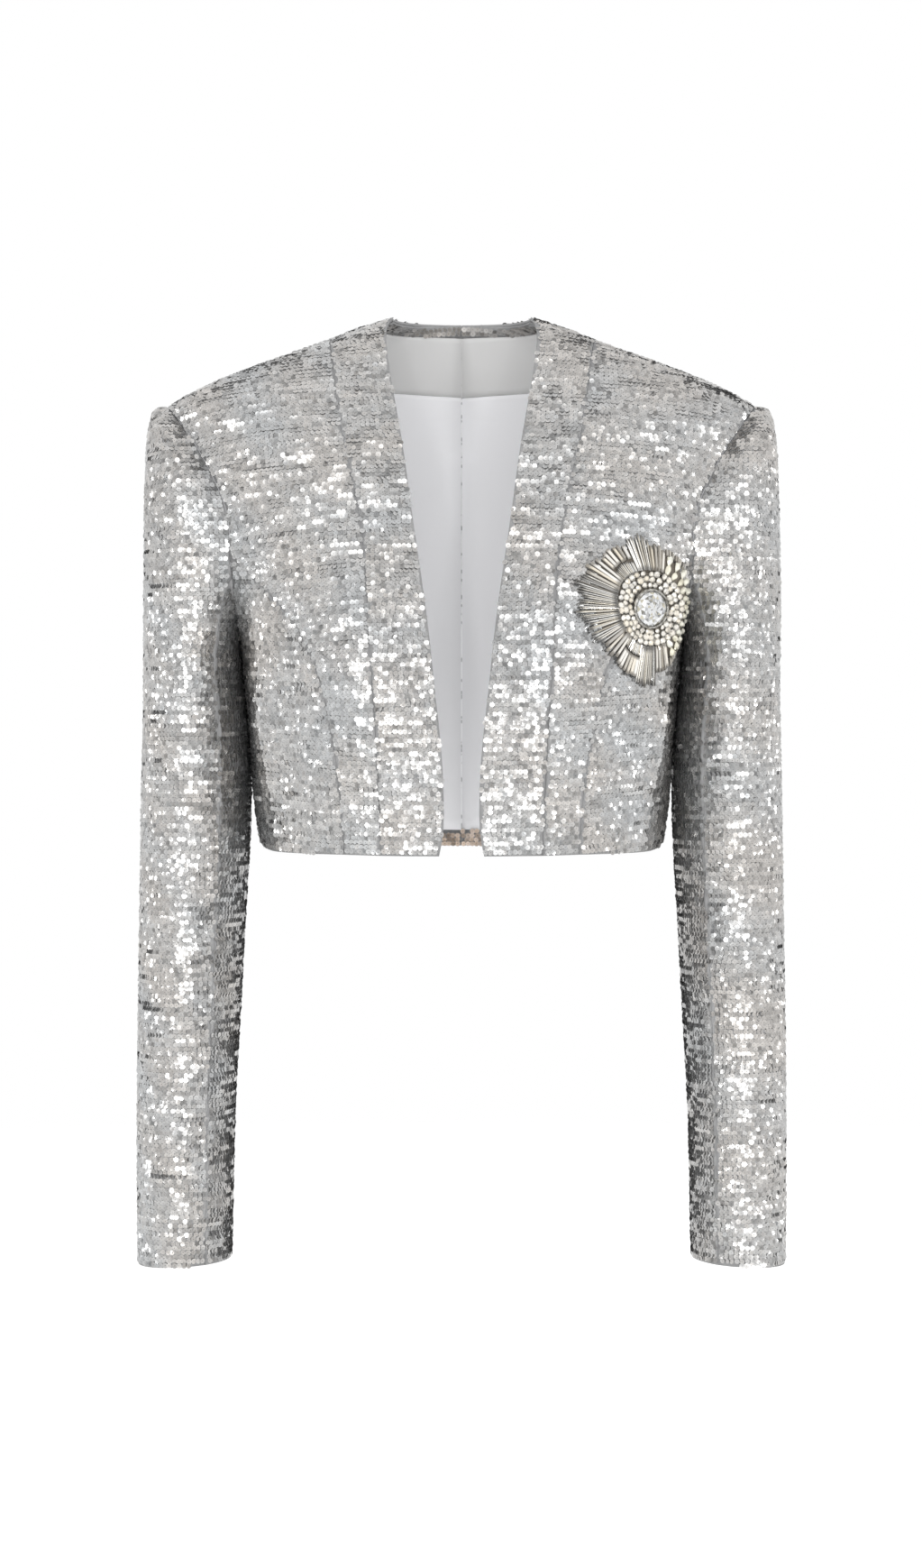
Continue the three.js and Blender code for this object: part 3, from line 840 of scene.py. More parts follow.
@dataclass
class SequinRows:
    """Sequins sewn in rows on a sheet, each over the next one, in short runs that lie alike.

    Lengths are in metres and tilts in degrees. A restless run tilts more by the share restless.
    """

    stamp: Stamp
    pitch: float = 3.35 * MM
    row: float = 3.1 * MM
    above: float = 0.55 * MM
    margin: float = 1.25 * MM
    overlap: float = 7.0
    run_tilt: float = 9.0
    own_tilt: float = 5.0
    most_tilt: float = 15.0
    run_end_share: float = 0.3
    restless_share: float = 0.11
    restless: float = 1.1
    dark_share: float = 0.1
    stray: float = 0.18 * MM
    margin_range: tuple[float, float] = (0.55, 1.1)
    size_range: tuple[float, float] = (0.95, 1.06)
    roll_share: float = 0.6
    warm_waves: int = 5
    wave_number: float = 55
    mean_heat: float = 3.5
    mean_tone: float = 5.2
    dark_tone: tuple[float, float] = (1.2, 3.2)

    def sewn(self, name: str, sheet: Sheet, border: KDTree, finish: Finish,
             rng: np.random.Generator) -> bpy.types.Object:
        """Sews the sequins on one sheet.

        Args:
            name: The new piece's name.
            sheet: The cloth that they are sewn on.
            border: The sheet's border, as close points.
            finish: Their finish.
            rng: The source of their irregularities.

        Returns:
            The sequins as one object.
        """
        found = sheet.lattice(self.pitch, self.row, rng)
        away = np.array([border.find(place)[2] for place in found["place"]])
        keep = np.lexsort((found["item"], found["row"]))
        keep = keep[away[keep] > self.margin * rng.uniform(*self.margin_range, len(keep))]
        found = {key: values[keep] for key, values in found.items()}
        count = len(keep)
        new_run = (rng.random(count) < self.run_end_share) | (np.diff(found["row"], prepend=-1) != 0)
        run = np.cumsum(new_run) - 1
        runs = run[-1] + 1
        over = math.copysign(self.overlap, found["place"][:, 0].mean())
        restless = 1 + self.restless * (rng.random(runs) < self.restless_share)
        roll = over + (rng.normal(0, self.run_tilt * self.roll_share, runs) * restless)[run]
        roll += rng.normal(0, self.own_tilt, count)
        pitch = (rng.normal(0, self.run_tilt, runs) * restless)[run] + rng.normal(0, self.own_tilt, count)
        pitch = np.clip(pitch, -self.most_tilt, self.most_tilt)
        z = found["normal"]
        x = found["weft"]
        y = np.cross(z, x)
        x, z = turned(x, z, np.radians(roll))
        y, z = turned(y, z, np.radians(pitch))
        x, y = turned(x, y, rng.uniform(0, math.tau, count))
        axes = np.stack([x, y, z], axis=1) * rng.uniform(*self.size_range, count)[:, None, None]
        places = found["place"] + found["normal"] * self.above
        places += found["weft"] * rng.normal(0, self.stray, count)[:, None]
        mesh = self.stamp.repeated(places, axes, self._tiles(places, run, runs, rng), True)
        return add_object(name, mesh, finish)

    def _tiles(self, places: np.ndarray, run: np.ndarray, runs: int,
               rng: np.random.Generator) -> np.ndarray:
        """Picks each sequin's tile: patches of warmth over the cloth, tone by run, and a few dark ones, which
        are partly tarnish and partly painted shade for sequins turned away from the light.
        """
        count = len(places)
        waves = sum(np.sin(places @ rng.normal(0, self.wave_number, 3) + rng.uniform(0, 6.3))
                    for _ in range(self.warm_waves))
        heat = self.mean_heat + waves * 1.1 + rng.normal(0, 0.8, count)
        tone = self.mean_tone + rng.normal(0, 0.8, runs)[run] + rng.normal(0, 0.6, count)
        tone = np.where(rng.random(count) < self.dark_share, rng.uniform(*self.dark_tone, count), tone)
        return picked_tiles(heat, tone)


@dataclass(frozen=True)
class BackInside:
    """How the facing, the lining and the strips are shaped inside the back, in metres.

    The seam between facing and lining bows up. Along the middle one half of the lining stands over the
    other as a loose pleat, and the halves of the other pieces are closed.
    """

    seam: float = -0.055
    seam_reach: float = 0.022
    bow: float = 0.0032
    bow_aside: float = 0.0022
    aside: float = 0.06
    bow_end: float = 0.08
    bow_fade: float = 0.02
    forward: float = 0.3
    pleat_lift: float = 0.0022
    pleat_width: float = 0.012
    pleat_shift: float = 0.0005
    pleat_sink: float = 0.0008
    sink_width: float = 0.0035
    closing: float = 0.00014
    closing_width: float = 0.004

    def bowed(self, points: np.ndarray) -> np.ndarray:
        """Curves the seam under the facing."""
        x, z = points[:, 0], points[:, 2]
        bow = self.bow + self.bow_aside * np.clip(np.abs(x) / self.aside, 0, 1)
        bow *= np.clip((self.bow_end - np.abs(x)) / self.bow_fade, 0, 1)
        bow *= np.exp(-(((z - self.seam) / self.seam_reach) ** 2))
        return points + np.stack([0 * bow, -self.forward * bow, bow], axis=1)

    def pleated(self, points: np.ndarray) -> np.ndarray:
        """Lifts one side of the middle and sinks the other."""
        x = points[:, 0]
        lifted = np.exp(-(((x + self.pleat_shift) / self.pleat_width) ** 2)) * (x < 0)
        sunk = np.exp(-((x / self.sink_width) ** 2)) * (x > 0)
        moved = points.copy()
        moved[:, 1] += self.pleat_sink * sunk - self.pleat_lift * lifted
        return moved

    def closed(self, points: np.ndarray) -> np.ndarray:
        """Brings the two halves together, so that no line shows at the middle."""
        x = points[:, 0]
        moved = points.copy()
        moved[:, 0] -= np.sign(x) * self.closing * np.exp(-((x / self.closing_width) ** 2))
        return moved


@dataclass
class CutPiece:
    """One cut piece of cloth, made from its node's mesh: smoothed, folded and sewn with any sequins."""

    node: str
    part: Part
    finish: Finish
    slot: str
    sequins: Finish | None = None
    curved_below: float = 0.3
    border_steps: int = 8
    shell: bpy.types.Object = field(init=False)
    sheet: Sheet = field(init=False)

    @property
    def inside(self) -> bool:
        """Whether the piece lies inside the back."""
        return self.node.startswith(("back_neck", "back_facing", "back_lining", "back_hem"))

    def made(self, drape: Drape, rows: SequinRows, rng: np.random.Generator) -> None:
        """Makes the piece.

        Args:
            drape: The folds of the cloth.
            rows: How sequins are sewn on.
            rng: The source of irregularities.
        """
        mesh = self._smoothed()
        points = np.empty(len(mesh.vertices) * 3)
        mesh.vertices.foreach_get("co", points)
        points = self._shaped(drape.moved(points.reshape(-1, 3), self.part))
        mesh.vertices.foreach_set("co", points.ravel())
        mesh.update()
        self.shell = mount(add_object(f"{self.node}_cloth", mesh, self.finish), self.slot, self.node)
        border = self._read_shown_side(mesh)
        if self.sequins:
            sequins = rows.sewn(f"{self.node}_sequins", self.sheet, border, self.sequins, rng)
            mount(sequins, self.slot)
        area = float(self.sheet.areas.sum())
        flat = self.sheet.flat
        if area < self.curved_below * flat[0] * flat[1]:
            flat = (area / max(flat), max(flat))
        width, length = (round(x * 1000) for x in flat)
        LOG.info("%s is cut %d x %d mm, %d cm2", self.node, width, length, round(area * 1e4))

    def _smoothed(self) -> bpy.types.Mesh:
        """The node's mesh as rounded cloth with sharp cut edges."""
        bm = bmesh.new()
        bm.from_mesh(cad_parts[self.node].data)
        bmesh.ops.remove_doubles(bm, verts=bm.verts, dist=1e-6)
        bmesh.ops.join_triangles(bm, faces=bm.faces, angle_face_threshold=math.radians(30),
                                 angle_shape_threshold=math.radians(60))
        crease = bm.edges.layers.float.new("crease_edge")
        for edge in bm.edges:
            if edge.calc_face_angle(0) > SHARP:
                edge[crease] = 1.0
        source = mesh_of(bm, self.node)
        helper = bpy.data.objects.new("smoothing", source)
        bpy.context.scene.collection.objects.link(helper)
        smooth = helper.modifiers.new("smooth", "SUBSURF")
        smooth.levels = smooth.render_levels = 1
        mesh = bpy.data.meshes.new_from_object(helper.evaluated_get(bpy.context.evaluated_depsgraph_get()))
        bpy.data.objects.remove(helper)
        bpy.data.meshes.remove(source)
        mesh.polygons.foreach_set("use_smooth", np.full(len(mesh.polygons), True))
        mesh.set_sharp_from_angle(angle=SHARP)
        return mesh

    def _shaped(self, points: np.ndarray) -> np.ndarray:
        """Shapes the middle and the seam of a piece that lies inside the back, and leaves any other."""
        if not self.inside:
            return points
        shape = BackInside()
        if self.finish is Finish.LINING:
            return shape.pleated(shape.bowed(points))
        points = shape.closed(points)
        return shape.bowed(points) if self.finish is Finish.FACING else points

    def _read_shown_side(self, mesh: bpy.types.Mesh) -> KDTree:
        """Finds the side that shows by walking over faces that meet smoothly, and returns its border."""
        bm = bmesh.new()
        bm.from_mesh(mesh)
        bm.faces.ensure_lookup_table()
        left = set(bm.faces)
        patches = []
        while left:
            patches.append(self._patch(next(iter(left))))
            left.difference_update(patches[-1])
        patch = max(patches, key=self._showing)
        kept = {f.index for f in patch}
        border = [e for f in patch for e in f.edges if any(g.index not in kept for g in e.link_faces)]
        steps = self.border_steps
        tree = KDTree(len(border) * (steps + 1))
        for edge in border:
            a, b = (v.co for v in edge.verts)
            for i in range(steps + 1):
                tree.insert(a.lerp(b, i / steps), 0)
        tree.balance()
        numbers: dict[int, int] = {}
        points, triangles = [], []
        for face in sorted(patch, key=lambda f: f.index):
            ring = []
            for vert in face.verts:
                if vert.index not in numbers:
                    numbers[vert.index] = len(points)
                    points.append(vert.co[:])
                ring.append(numbers[vert.index])
            triangles += [(ring[0], ring[i], ring[i + 1]) for i in range(1, len(ring) - 1)]
        bm.free()
        self.sheet = Sheet(np.array(points), np.array(triangles), self.part)
        return tree

    @staticmethod
    def _patch(first: bmesh.types.BMFace) -> list[bmesh.types.BMFace]:
        """The faces that are reached from the first without crossing a sharp edge."""
        seen = {first}
        todo = deque([first])
        while todo:
            face = todo.popleft()
            for edge in face.edges:
                if edge.calc_face_angle(0) > SHARP:
                    continue
                for other in edge.link_faces:
                    if other not in seen:
                        seen.add(other)
                        todo.append(other)
        return list(seen)

    def _showing(self, patch: Iterable[bmesh.types.BMFace]) -> float:
        """How large a patch is, as seen from the side from which this piece shows."""
        return sum(f.normal.dot(self._shown_way(f.calc_center_median())) * f.calc_area() for f in patch)

    def _shown_way(self, place: Vector) -> Vector:
        """Roughly the way that this piece's cloth faces at a place: out, or in where it lines the back."""
        if self.part is Part.SLEEVE:
            x, y = math.copysign(SLEEVE_MIDDLE[0], place.x), SLEEVE_MIDDLE[1]
        else:
            x, y = 0.4 * place.x, 0.0
        axis = Vector((x, y, min(place.z, CHEST_TOP)))
        out = (place - axis).normalized()
        return -out if self.inside else out


# The sunburst


class Cut(Enum):
    """The shapes of bead and stone in the sunburst's rays."""

    BUGLE = "bugle"
    BAGUETTE = "baguette"
    LEAF = "leaf"


@dataclass(frozen=True)
class Fan:
    """A sector of rays, with its angles in degrees and its radii and the width of a bead in millimetres."""

    start: float
    end: float
    cut: Cut
    inner: float
    outer: float
    width: float
    uneven: float = 0.08


@dataclass(frozen=True)
class BeadKind:
    """How the beads of one cut are set, in millimetres, with fill as a share of the width.

    Each bead strays from its even place in the fan by about stray degrees.
    """

    cut: Cut
    finish: Finish
    thick: float
    lift: float
    fill: float
    stray: float


@dataclass(frozen=True)
class HaloRow:
    """A ring of small stones: its radius, their number and their own radius, in millimetres."""

    radius: float
    count: int
    size: float


@dataclass(frozen=True)
class FacetRing:
    """A ring of the large stone's corners: radius and height in millimetres, and its turn in facets."""

    radius: float
    height: float
    twist: float = 0.0


@dataclass
class Sunburst:
    """The sunburst of beads and stones: rays, a halo of small stones, a bezel and one large cut stone.

    Its sizes are in millimetres. Its middle leans to the front by lean degrees, out to the radius leaning_to,
    and further out the rays come back to the cloth within fade_over.
    """

    middle: tuple[float, float] = (129.0, -208.0)
    base: float = 1.9
    raised: float = 2.2
    lean: float = 15.0
    leaning_to: float = 26.0
    fade_over: float = 22.0
    flattening: float = 0.0011
    fans: tuple[Fan, ...] = (
        Fan(66, 82, Cut.BAGUETTE, 27, 47, 2.7),
        Fan(82, 103, Cut.BUGLE, 27, 53, 1.6),
        Fan(103, 132, Cut.BUGLE, 26.5, 36, 1.25),
        Fan(103, 132, Cut.BAGUETTE, 37, 49, 3.3),
        Fan(132, 150, Cut.BAGUETTE, 27, 52, 2.9),
        Fan(150, 171, Cut.BUGLE, 27, 56, 1.5),
        Fan(171, 190, Cut.BUGLE, 26.5, 58, 1.15),
        Fan(190, 208, Cut.BUGLE, 27, 56, 1.5),
        Fan(208, 226, Cut.BAGUETTE, 27, 51, 3.0),
        Fan(226, 254, Cut.BUGLE, 26.5, 36, 1.25),
        Fan(226, 254, Cut.BAGUETTE, 37, 52, 3.5),
        Fan(254, 277, Cut.BUGLE, 27, 57, 1.5),
        Fan(277, 296, Cut.BAGUETTE, 27, 48, 2.6),
        Fan(-64, 66, Cut.LEAF, 26.0, 35.5, 6.0, 0.2),
        Fan(-64, 66, Cut.LEAF, 33.5, 43.5, 6.6, 0.2),
        Fan(36, 66, Cut.BAGUETTE, 41, 47, 2.4, 0.2),
        Fan(-64, -36, Cut.BAGUETTE, 41, 47, 2.4, 0.2),
    )
    kinds: tuple[BeadKind, ...] = (
        BeadKind(Cut.BUGLE, Finish.BUGLE, thick=0.75, lift=0.7, fill=0.92, stray=0.25),
        BeadKind(Cut.BAGUETTE, Finish.BAGUETTE, thick=1.7, lift=0.0, fill=0.86, stray=0.25),
        BeadKind(Cut.LEAF, Finish.LEAF, thick=2.2, lift=0.0, fill=0.86, stray=0.6),
    )
    halo: tuple[HaloRow, ...] = (HaloRow(16.6, 25, 2.25), HaloRow(20.6, 28, 2.45), HaloRow(24.6, 33, 2.4))
    stone_lift: float = 0.2
    ray_base: tuple[float, float] = (26.2, 44.5)
    halo_base: tuple[float, float] = (13.0, 26.0)
    base_thick: float = 0.5
    base_depth: float = 0.9
    arm_side_cut: float = 0.16
    rim: tuple[tuple[float, float], ...] = ((11.6, 0.4), (13.9, 0.0), (14.3, 0.8), (14.1, 2.2), (13.7, 2.9),
                                            (13.1, 3.2), (12.5, 3.0), (12.3, 2.2))
    rim_beads: int = 40
    rim_bead: float = 0.5
    rim_top: tuple[float, float] = (13.0, 3.2)
    stone: tuple[FacetRing, ...] = (FacetRing(10.0, 0.4), FacetRing(12.3, 1.9), FacetRing(11.8, 2.7, 0.5),
                                    FacetRing(9.8, 4.3), FacetRing(7.4, 5.4, 0.5))
    facets: int = 16
    trees: list[BVHTree] = field(init=False)
    centre: Vector = field(init=False)
    normal: Vector = field(init=False)
    right: Vector = field(init=False)
    up: Vector = field(init=False)
    facing: Vector = field(init=False)
    level: Vector = field(init=False)

    def made(self, cloth: Iterable[bpy.types.Object], rng: np.random.Generator) -> None:
        """Makes the sunburst on the cloth.

        Args:
            cloth: The pieces of cloth under it.
            rng: The source of irregularities.
        """
        self.trees = [BVHTree.FromObject(piece, bpy.context.evaluated_depsgraph_get()) for piece in cloth]
        before = Vector((self.middle[0] * MM, -0.4, self.middle[1] * MM))
        self.centre, self.normal = self._hit(before, Vector((0, 1, 0)))
        self.right = (Vector((1, 0, 0)) - self.normal * self.normal.x).normalized()
        self.up = self.normal.cross(self.right)
        turn = Matrix.Rotation(math.radians(self.lean), 3, self.up)
        self.facing = min((turn @ self.normal, turn.transposed() @ self.normal), key=lambda way: way.y)
        self.level = self.up.cross(self.facing).normalized()
        self._rays(rng)
        self._halo(rng)
        self._rim()
        self._rim_beads()
        self._large_stone(rng)

    @property
    def seat(self) -> Vector:
        """Where the middle of the bezel stands over the cloth."""
        return self.centre + self.normal * ((self.base + self.raised) * MM)

    def _hit(self, start: Vector, way: Vector) -> tuple[Vector, Vector]:
        """The first cloth along a line, or else the cloth nearest to the line's far end, and its normal."""
        hits = [hit for hit in (tree.ray_cast(start, way) for tree in self.trees) if hit[0]]
        if not hits:
            hits = [tree.find_nearest(start + way * 0.3) for tree in self.trees]
        best = min(hits, key=lambda hit: hit[3])
        return best[0], best[1]

    def at(self, radius: float, degrees: float, height: float) -> Vector:
        """Finds a point over the cloth.

        Args:
            radius: Its distance from the middle, in mm.
            degrees: Its direction from the middle.
            height: Its height over the sunburst's base, in mm.

        Returns:
            The point, in metres.
        """
        turn = math.radians(degrees)
        flat = 1 - self.flattening * radius
        aside = self.right * (radius * flat * math.cos(turn) * MM)
        above = self.up * (radius * flat * math.sin(turn) * MM)
        place, normal = self._hit(self.centre + aside + above + self.normal * 0.05, -self.normal)
        blend = (normal + self.normal * 2).normalized()
        reach = min(radius * math.cos(turn), self.leaning_to)
        leaning = self.raised + reach * math.tan(math.radians(self.lean))
        fading = 1 - min(max((radius - self.leaning_to) / self.fade_over, 0), 1) ** 1.5
        return place + blend * ((self.base + height + max(leaning, 0) * fading) * MM)

    def _rays(self, rng: np.random.Generator) -> None:
        """Lays the fans of beads on a dark sewn base."""
        stamps = {Cut.BUGLE: rod(6), Cut.BAGUETTE: self._baguette(), Cut.LEAF: self._leaf()}
        for kind in self.kinds:
            stamp = stamps[kind.cut]
            fans = [fan for fan in self.fans if fan.cut is kind.cut]
            beads = [bead for fan in fans for bead in self._fan(fan, kind, rng)]
            shape = (len(beads), len(stamp.faces))
            heat = rng.normal(2.6, 2.2, (len(beads), 1)) + np.zeros(shape)
            # Each facet's own tone is a painted reflection, lighter or darker facet by facet
            tone = rng.normal(4.9, 1.5, (len(beads), 1)) + rng.normal(0, 0.8, shape)
            places, axes = (np.array(values) for values in zip(*beads))
            mesh = stamp.repeated(places, axes, picked_tiles(heat, tone), False)
            mount(add_object(f"sunburst_{kind.cut.value}s", mesh, kind.finish), "stones", "sunburst_rays")
        self._plate("sunburst_ray_base", *self.ray_base)

    def _fan(self, fan: Fan, kind: BeadKind, rng: np.random.Generator) -> list[tuple[np.ndarray, np.ndarray]]:
        """The places and axes of one fan's beads, which reach furthest at its middle."""
        span = fan.outer - fan.inner
        arc = math.radians(fan.end - fan.start) * (fan.inner + fan.outer) / 2
        count = max(round(arc / (fan.width * 1.06)), 2)
        beads = []
        for i in range(count):
            share = (i + 0.5) / count
            degrees = fan.start + share * (fan.end - fan.start) + rng.normal(0, kind.stray)
            bow = (math.sin(math.pi * share) - 0.6) * 0.14 * span
            outer = fan.outer + bow + rng.normal(0, fan.uneven * span / 2)
            inner = fan.inner + rng.uniform(0, 0.4)
            thick = kind.thick * rng.uniform(0.85, 1.15)
            width = fan.width * kind.fill * rng.uniform(0.9, 1.05)
            roll = rng.normal(0, 0.16)
            beads.append(self._bead((inner, outer), degrees, (width, thick), kind.lift, roll))
        return beads

    def _bead(self, ends: tuple[float, float], degrees: float, size: tuple[float, float], lift: float,
              roll: float) -> tuple[np.ndarray, np.ndarray]:
        """Lays one bead along a ray.

        Args:
            ends: The distances of its ends from the middle, in mm.
            degrees: The ray's direction.
            size: The bead's width and thickness, in mm.
            lift: Its height over the base, in mm.
            roll: Its turn about its own length, in radians.

        Returns:
            Its place, and its axes as rows.
        """
        a, b = (self.at(end, degrees, lift) for end in ends)
        along = (b - a) / 2
        side = Matrix.Rotation(roll, 3, along) @ along.cross(self.normal).normalized()
        top = side.cross(along).normalized()
        axes = np.array([side * (size[0] / 2 * MM), along, top * (size[1] * MM)])
        return np.array((a + b) / 2), axes

    @staticmethod
    def _baguette() -> Stamp:
        """A long step-cut stone."""
        bm = bmesh.new()
        bmesh.ops.create_cube(bm, size=2.0)
        bmesh.ops.translate(bm, verts=bm.verts, vec=(0, 0, 1))
        bmesh.ops.scale(bm, vec=(1, 1, 0.5), verts=bm.verts)
        top = [e for e in bm.edges if all(v.co.z > 0.9 for v in e.verts)]
        bmesh.ops.bevel(bm, geom=top, offset=0.3, offset_type="OFFSET", segments=1, profile=0.5,
                        affect="EDGES", material=-1)
        return Stamp.of(bm)

    @staticmethod
    def _leaf() -> Stamp:
        """A pointed oval stone with a flat top."""
        bm = bmesh.new()
        bmesh.ops.create_cone(bm, cap_ends=True, segments=10, radius1=1.0, radius2=0.45, depth=1.0)
        bmesh.ops.translate(bm, verts=bm.verts, vec=(0, 0, 0.5))
        for vert in bm.verts:
            vert.co.x *= 1 - 0.45 * abs(vert.co.y) ** 1.5
        return Stamp.of(bm)

    def _plate(self, name: str, inner: float, outer: float) -> None:
        """A thin dark base under stones, cut back on the side of the arm."""
        bm = bmesh.new()
        for radius in (inner, outer):
            bmesh.ops.create_circle(bm, cap_ends=False, radius=radius, segments=96)
        bmesh.ops.bridge_loops(bm, edges=bm.edges[:])
        spokes = [e for e in bm.edges if abs(e.calc_length() - outer + inner) < 0.1]
        bmesh.ops.subdivide_edges(bm, edges=spokes, cuts=3)
        bmesh.ops.recalc_face_normals(bm, faces=bm.faces[:])
        if sum(f.normal.z for f in bm.faces) < 0:
            bmesh.ops.reverse_faces(bm, faces=bm.faces[:])
        bmesh.ops.solidify(bm, geom=bm.faces[:], thickness=self.base_thick)
        for vert in bm.verts:
            degrees = math.degrees(math.atan2(vert.co.y, vert.co.x))
            near_arm = max(math.cos(math.radians(degrees)), 0)
            radius = min(math.hypot(vert.co.x, vert.co.y), outer * (1 - self.arm_side_cut * near_arm))
            vert.co = self.at(radius, degrees, vert.co.z - self.base_depth)
        bmesh.ops.recalc_face_normals(bm, faces=bm.faces[:])
        mount(add_object(name, mesh_of(bm, name), Finish.FELT), "setting", "sunburst_rays")

    def _halo(self, rng: np.random.Generator) -> None:
        """Sets rows of small round stones in cups."""
        stamp = cut_stone(8, 0.52)
        stones = [self._small_stone(row, i, rng) for row in self.halo for i in range(row.count)]
        places, axes = (np.array(values) for values in zip(*stones))
        count = len(stones)
        heat = rng.normal(3.0, 2.2, (count, 1)) + np.zeros((count, len(stamp.faces)))
        # Each facet's own tone is a painted reflection, lighter or darker facet by facet
        tone = rng.normal(5.6, 1.9, (count, len(stamp.faces)))
        low = axes * np.array([[1], [1], [0.75]])
        mesh = stamp.repeated(places, low, picked_tiles(heat, tone), False)
        mount(add_object("sunburst_small_stones", mesh, Finish.RHINESTONE), "stones", "sunburst_halo")
        cups = self._cup().repeated(places, axes, np.zeros((count, 2)), True)
        mount(add_object("sunburst_small_cups", cups, Finish.SETTING), "setting", "sunburst_halo")
        self._plate("sunburst_halo_base", *self.halo_base)

    def _small_stone(self, row: HaloRow, i: int, rng: np.random.Generator) -> tuple[np.ndarray, np.ndarray]:
        """The place and axes of one small stone, which leans and turns a little on its own."""
        degrees = (i + rng.uniform(-0.16, 0.16)) * 360 / row.count + row.radius * 7
        size = row.size * rng.uniform(0.8, 1.12)
        place = self.at(row.radius + rng.normal(0, 0.3), degrees, self.stone_lift)
        lean = self.level * rng.normal(0, 0.14) + self.up * rng.normal(0, 0.14)
        top = (self.facing + lean).normalized()
        side = top.cross(self.up).normalized()
        turn = rng.uniform(0, math.tau)
        x = side * math.cos(turn) + side.cross(top) * math.sin(turn)
        return np.array(place), np.array([x, top.cross(x), top]) * (size * MM)

    @staticmethod
    def _cup() -> Stamp:
        """A small setting: a short tube with a wider lip."""
        bm = bmesh.new()
        bmesh.ops.create_circle(bm, cap_ends=False, radius=1.0, segments=10)
        ring = bmesh.ops.extrude_edge_only(bm, edges=bm.edges[:])["geom"]
        top = [item for item in ring if isinstance(item, bmesh.types.BMVert)]
        bmesh.ops.translate(bm, verts=top, vec=(0, 0, 0.42))
        bmesh.ops.scale(bm, vec=(1.06, 1.06, 1), verts=top)
        bmesh.ops.recalc_face_normals(bm, faces=bm.faces[:])
        bmesh.ops.solidify(bm, geom=bm.faces[:], thickness=0.1)
        return Stamp.of(bm)

    def _seated(self, bm: bmesh.types.BMesh, name: str, smooth: bool) -> bpy.types.Mesh:
        """Moves a bmesh from its own millimetres to the middle of the sunburst and makes it a mesh."""
        turn = Matrix((self.level, self.up, self.facing)).transposed().to_4x4()
        bm.transform(Matrix.Translation(self.seat) @ turn @ Matrix.Scale(MM, 4))
        return mesh_of(bm, name, smooth)

    def _rim(self) -> None:
        """The turned rim round the large stone."""
        bm = bmesh.new()
        ring = bmesh.ops.create_circle(bm, cap_ends=False, radius=1.0, segments=len(self.rim))["verts"]
        for vert, (radius, height) in zip(ring, self.rim):
            vert.co = (radius, 0, height)
        bmesh.ops.spin(bm, geom=bm.verts[:] + bm.edges[:], cent=(0, 0, 0), axis=(0, 0, 1), dvec=(0, 0, 0),
                       angle=math.tau, steps=64, use_merge=True, use_duplicate=False)
        bmesh.ops.remove_doubles(bm, verts=bm.verts, dist=1e-4)
        bmesh.ops.recalc_face_normals(bm, faces=bm.faces[:])
        mesh = self._seated(bm, "sunburst_rim", True)
        mount(add_object("sunburst_rim", mesh, Finish.SETTING), "setting", "sunburst_bezel")

    def _rim_beads(self) -> None:
        """The row of beads on the rim."""
        bead = bmesh.new()
        bmesh.ops.create_icosphere(bead, subdivisions=1, radius=1.0)
        radius, height = self.rim_top
        places = []
        for i in range(self.rim_beads):
            turn = math.tau * i / self.rim_beads
            out = self.level * math.cos(turn) + self.up * math.sin(turn)
            places.append(np.array(self.seat + out * (radius * MM) + self.facing * (height * MM)))
        axes = np.array([self.level, self.up, self.facing]) * (self.rim_bead * MM)
        axes = np.tile(axes, (self.rim_beads, 1, 1))
        mesh = Stamp.of(bead).repeated(np.array(places), axes, np.zeros((self.rim_beads, 2)), True)
        mount(add_object("sunburst_rim_beads", mesh, Finish.SETTING), "setting", "sunburst_bezel")

    def _large_stone(self, rng: np.random.Generator) -> None:
        """The large brilliant-cut stone: turned rings of triangular facets round a flat table."""
        bm = bmesh.new()
        for ring in self.stone:
            turn = Matrix.Rotation(math.tau / self.facets * ring.twist, 4, "Z")
            place = Matrix.Translation((0, 0, ring.height)) @ turn
            bmesh.ops.create_circle(bm, cap_ends=False, radius=ring.radius, segments=self.facets,
                                    matrix=place)
        edges = bm.edges[:]
        levels = [[e for e in edges if abs(e.verts[0].co.z - ring.height) < 1e-4] for ring in self.stone]
        for low, high in zip(levels, levels[1:]):
            bmesh.ops.bridge_loops(bm, edges=low + high)
        caps = [bmesh.ops.contextual_create(bm, geom=level)["faces"] for level in (levels[0], levels[-1])]
        bmesh.ops.triangulate(bm, faces=[f for f in bm.faces if len(f.verts) == 4])
        table = bmesh.ops.poke(bm, faces=caps[1])["faces"]
        spokes = dict.fromkeys(e for f in table for e in f.edges if e.calc_length() > 5)
        bmesh.ops.subdivide_edges(bm, edges=list(spokes), cuts=2, use_grid_fill=True)
        bmesh.ops.triangulate(bm, faces=[f for f in bm.faces if len(f.verts) > 3 and f.normal.z > 0.9])
        bmesh.ops.recalc_face_normals(bm, faces=bm.faces[:])
        self._tile_facets(bm, rng)
        mesh = self._seated(bm, "stone", False)
        mount(add_object("sunburst_large_stone", mesh, Finish.CRYSTAL), "stones", "sunburst_stone")

    @staticmethod
    def _tile_facets(bm: bmesh.types.BMesh, rng: np.random.Generator) -> None:
        """Gives each facet of the large stone a tile of its own, whose tone and tint are painted reflections:
        white, grey, dark and olive-gold.
        """
        uv = bm.loops.layers.uv.new(TILE_MAP)
        shades = rng.choice([7, 6, 5, 3, 1], len(bm.faces), p=[0.28, 0.2, 0.16, 0.2, 0.16])
        heats = rng.choice([0, 1, 6], len(bm.faces), p=[0.7, 0.16, 0.14])
        corners = ((-0.6, -0.6), (0.6, -0.6), (0, 0.6), (0.2, 0.2)) * 8
        for face, shade, heat in zip(bm.faces, shades, heats):
            for loop, (x, y) in zip(face.loops, corners):
                loop[uv].uv = ((heat + 0.5 + 0.4 * x) / CELLS, (shade + 0.5 + 0.4 * y) / CELLS)


# The studio


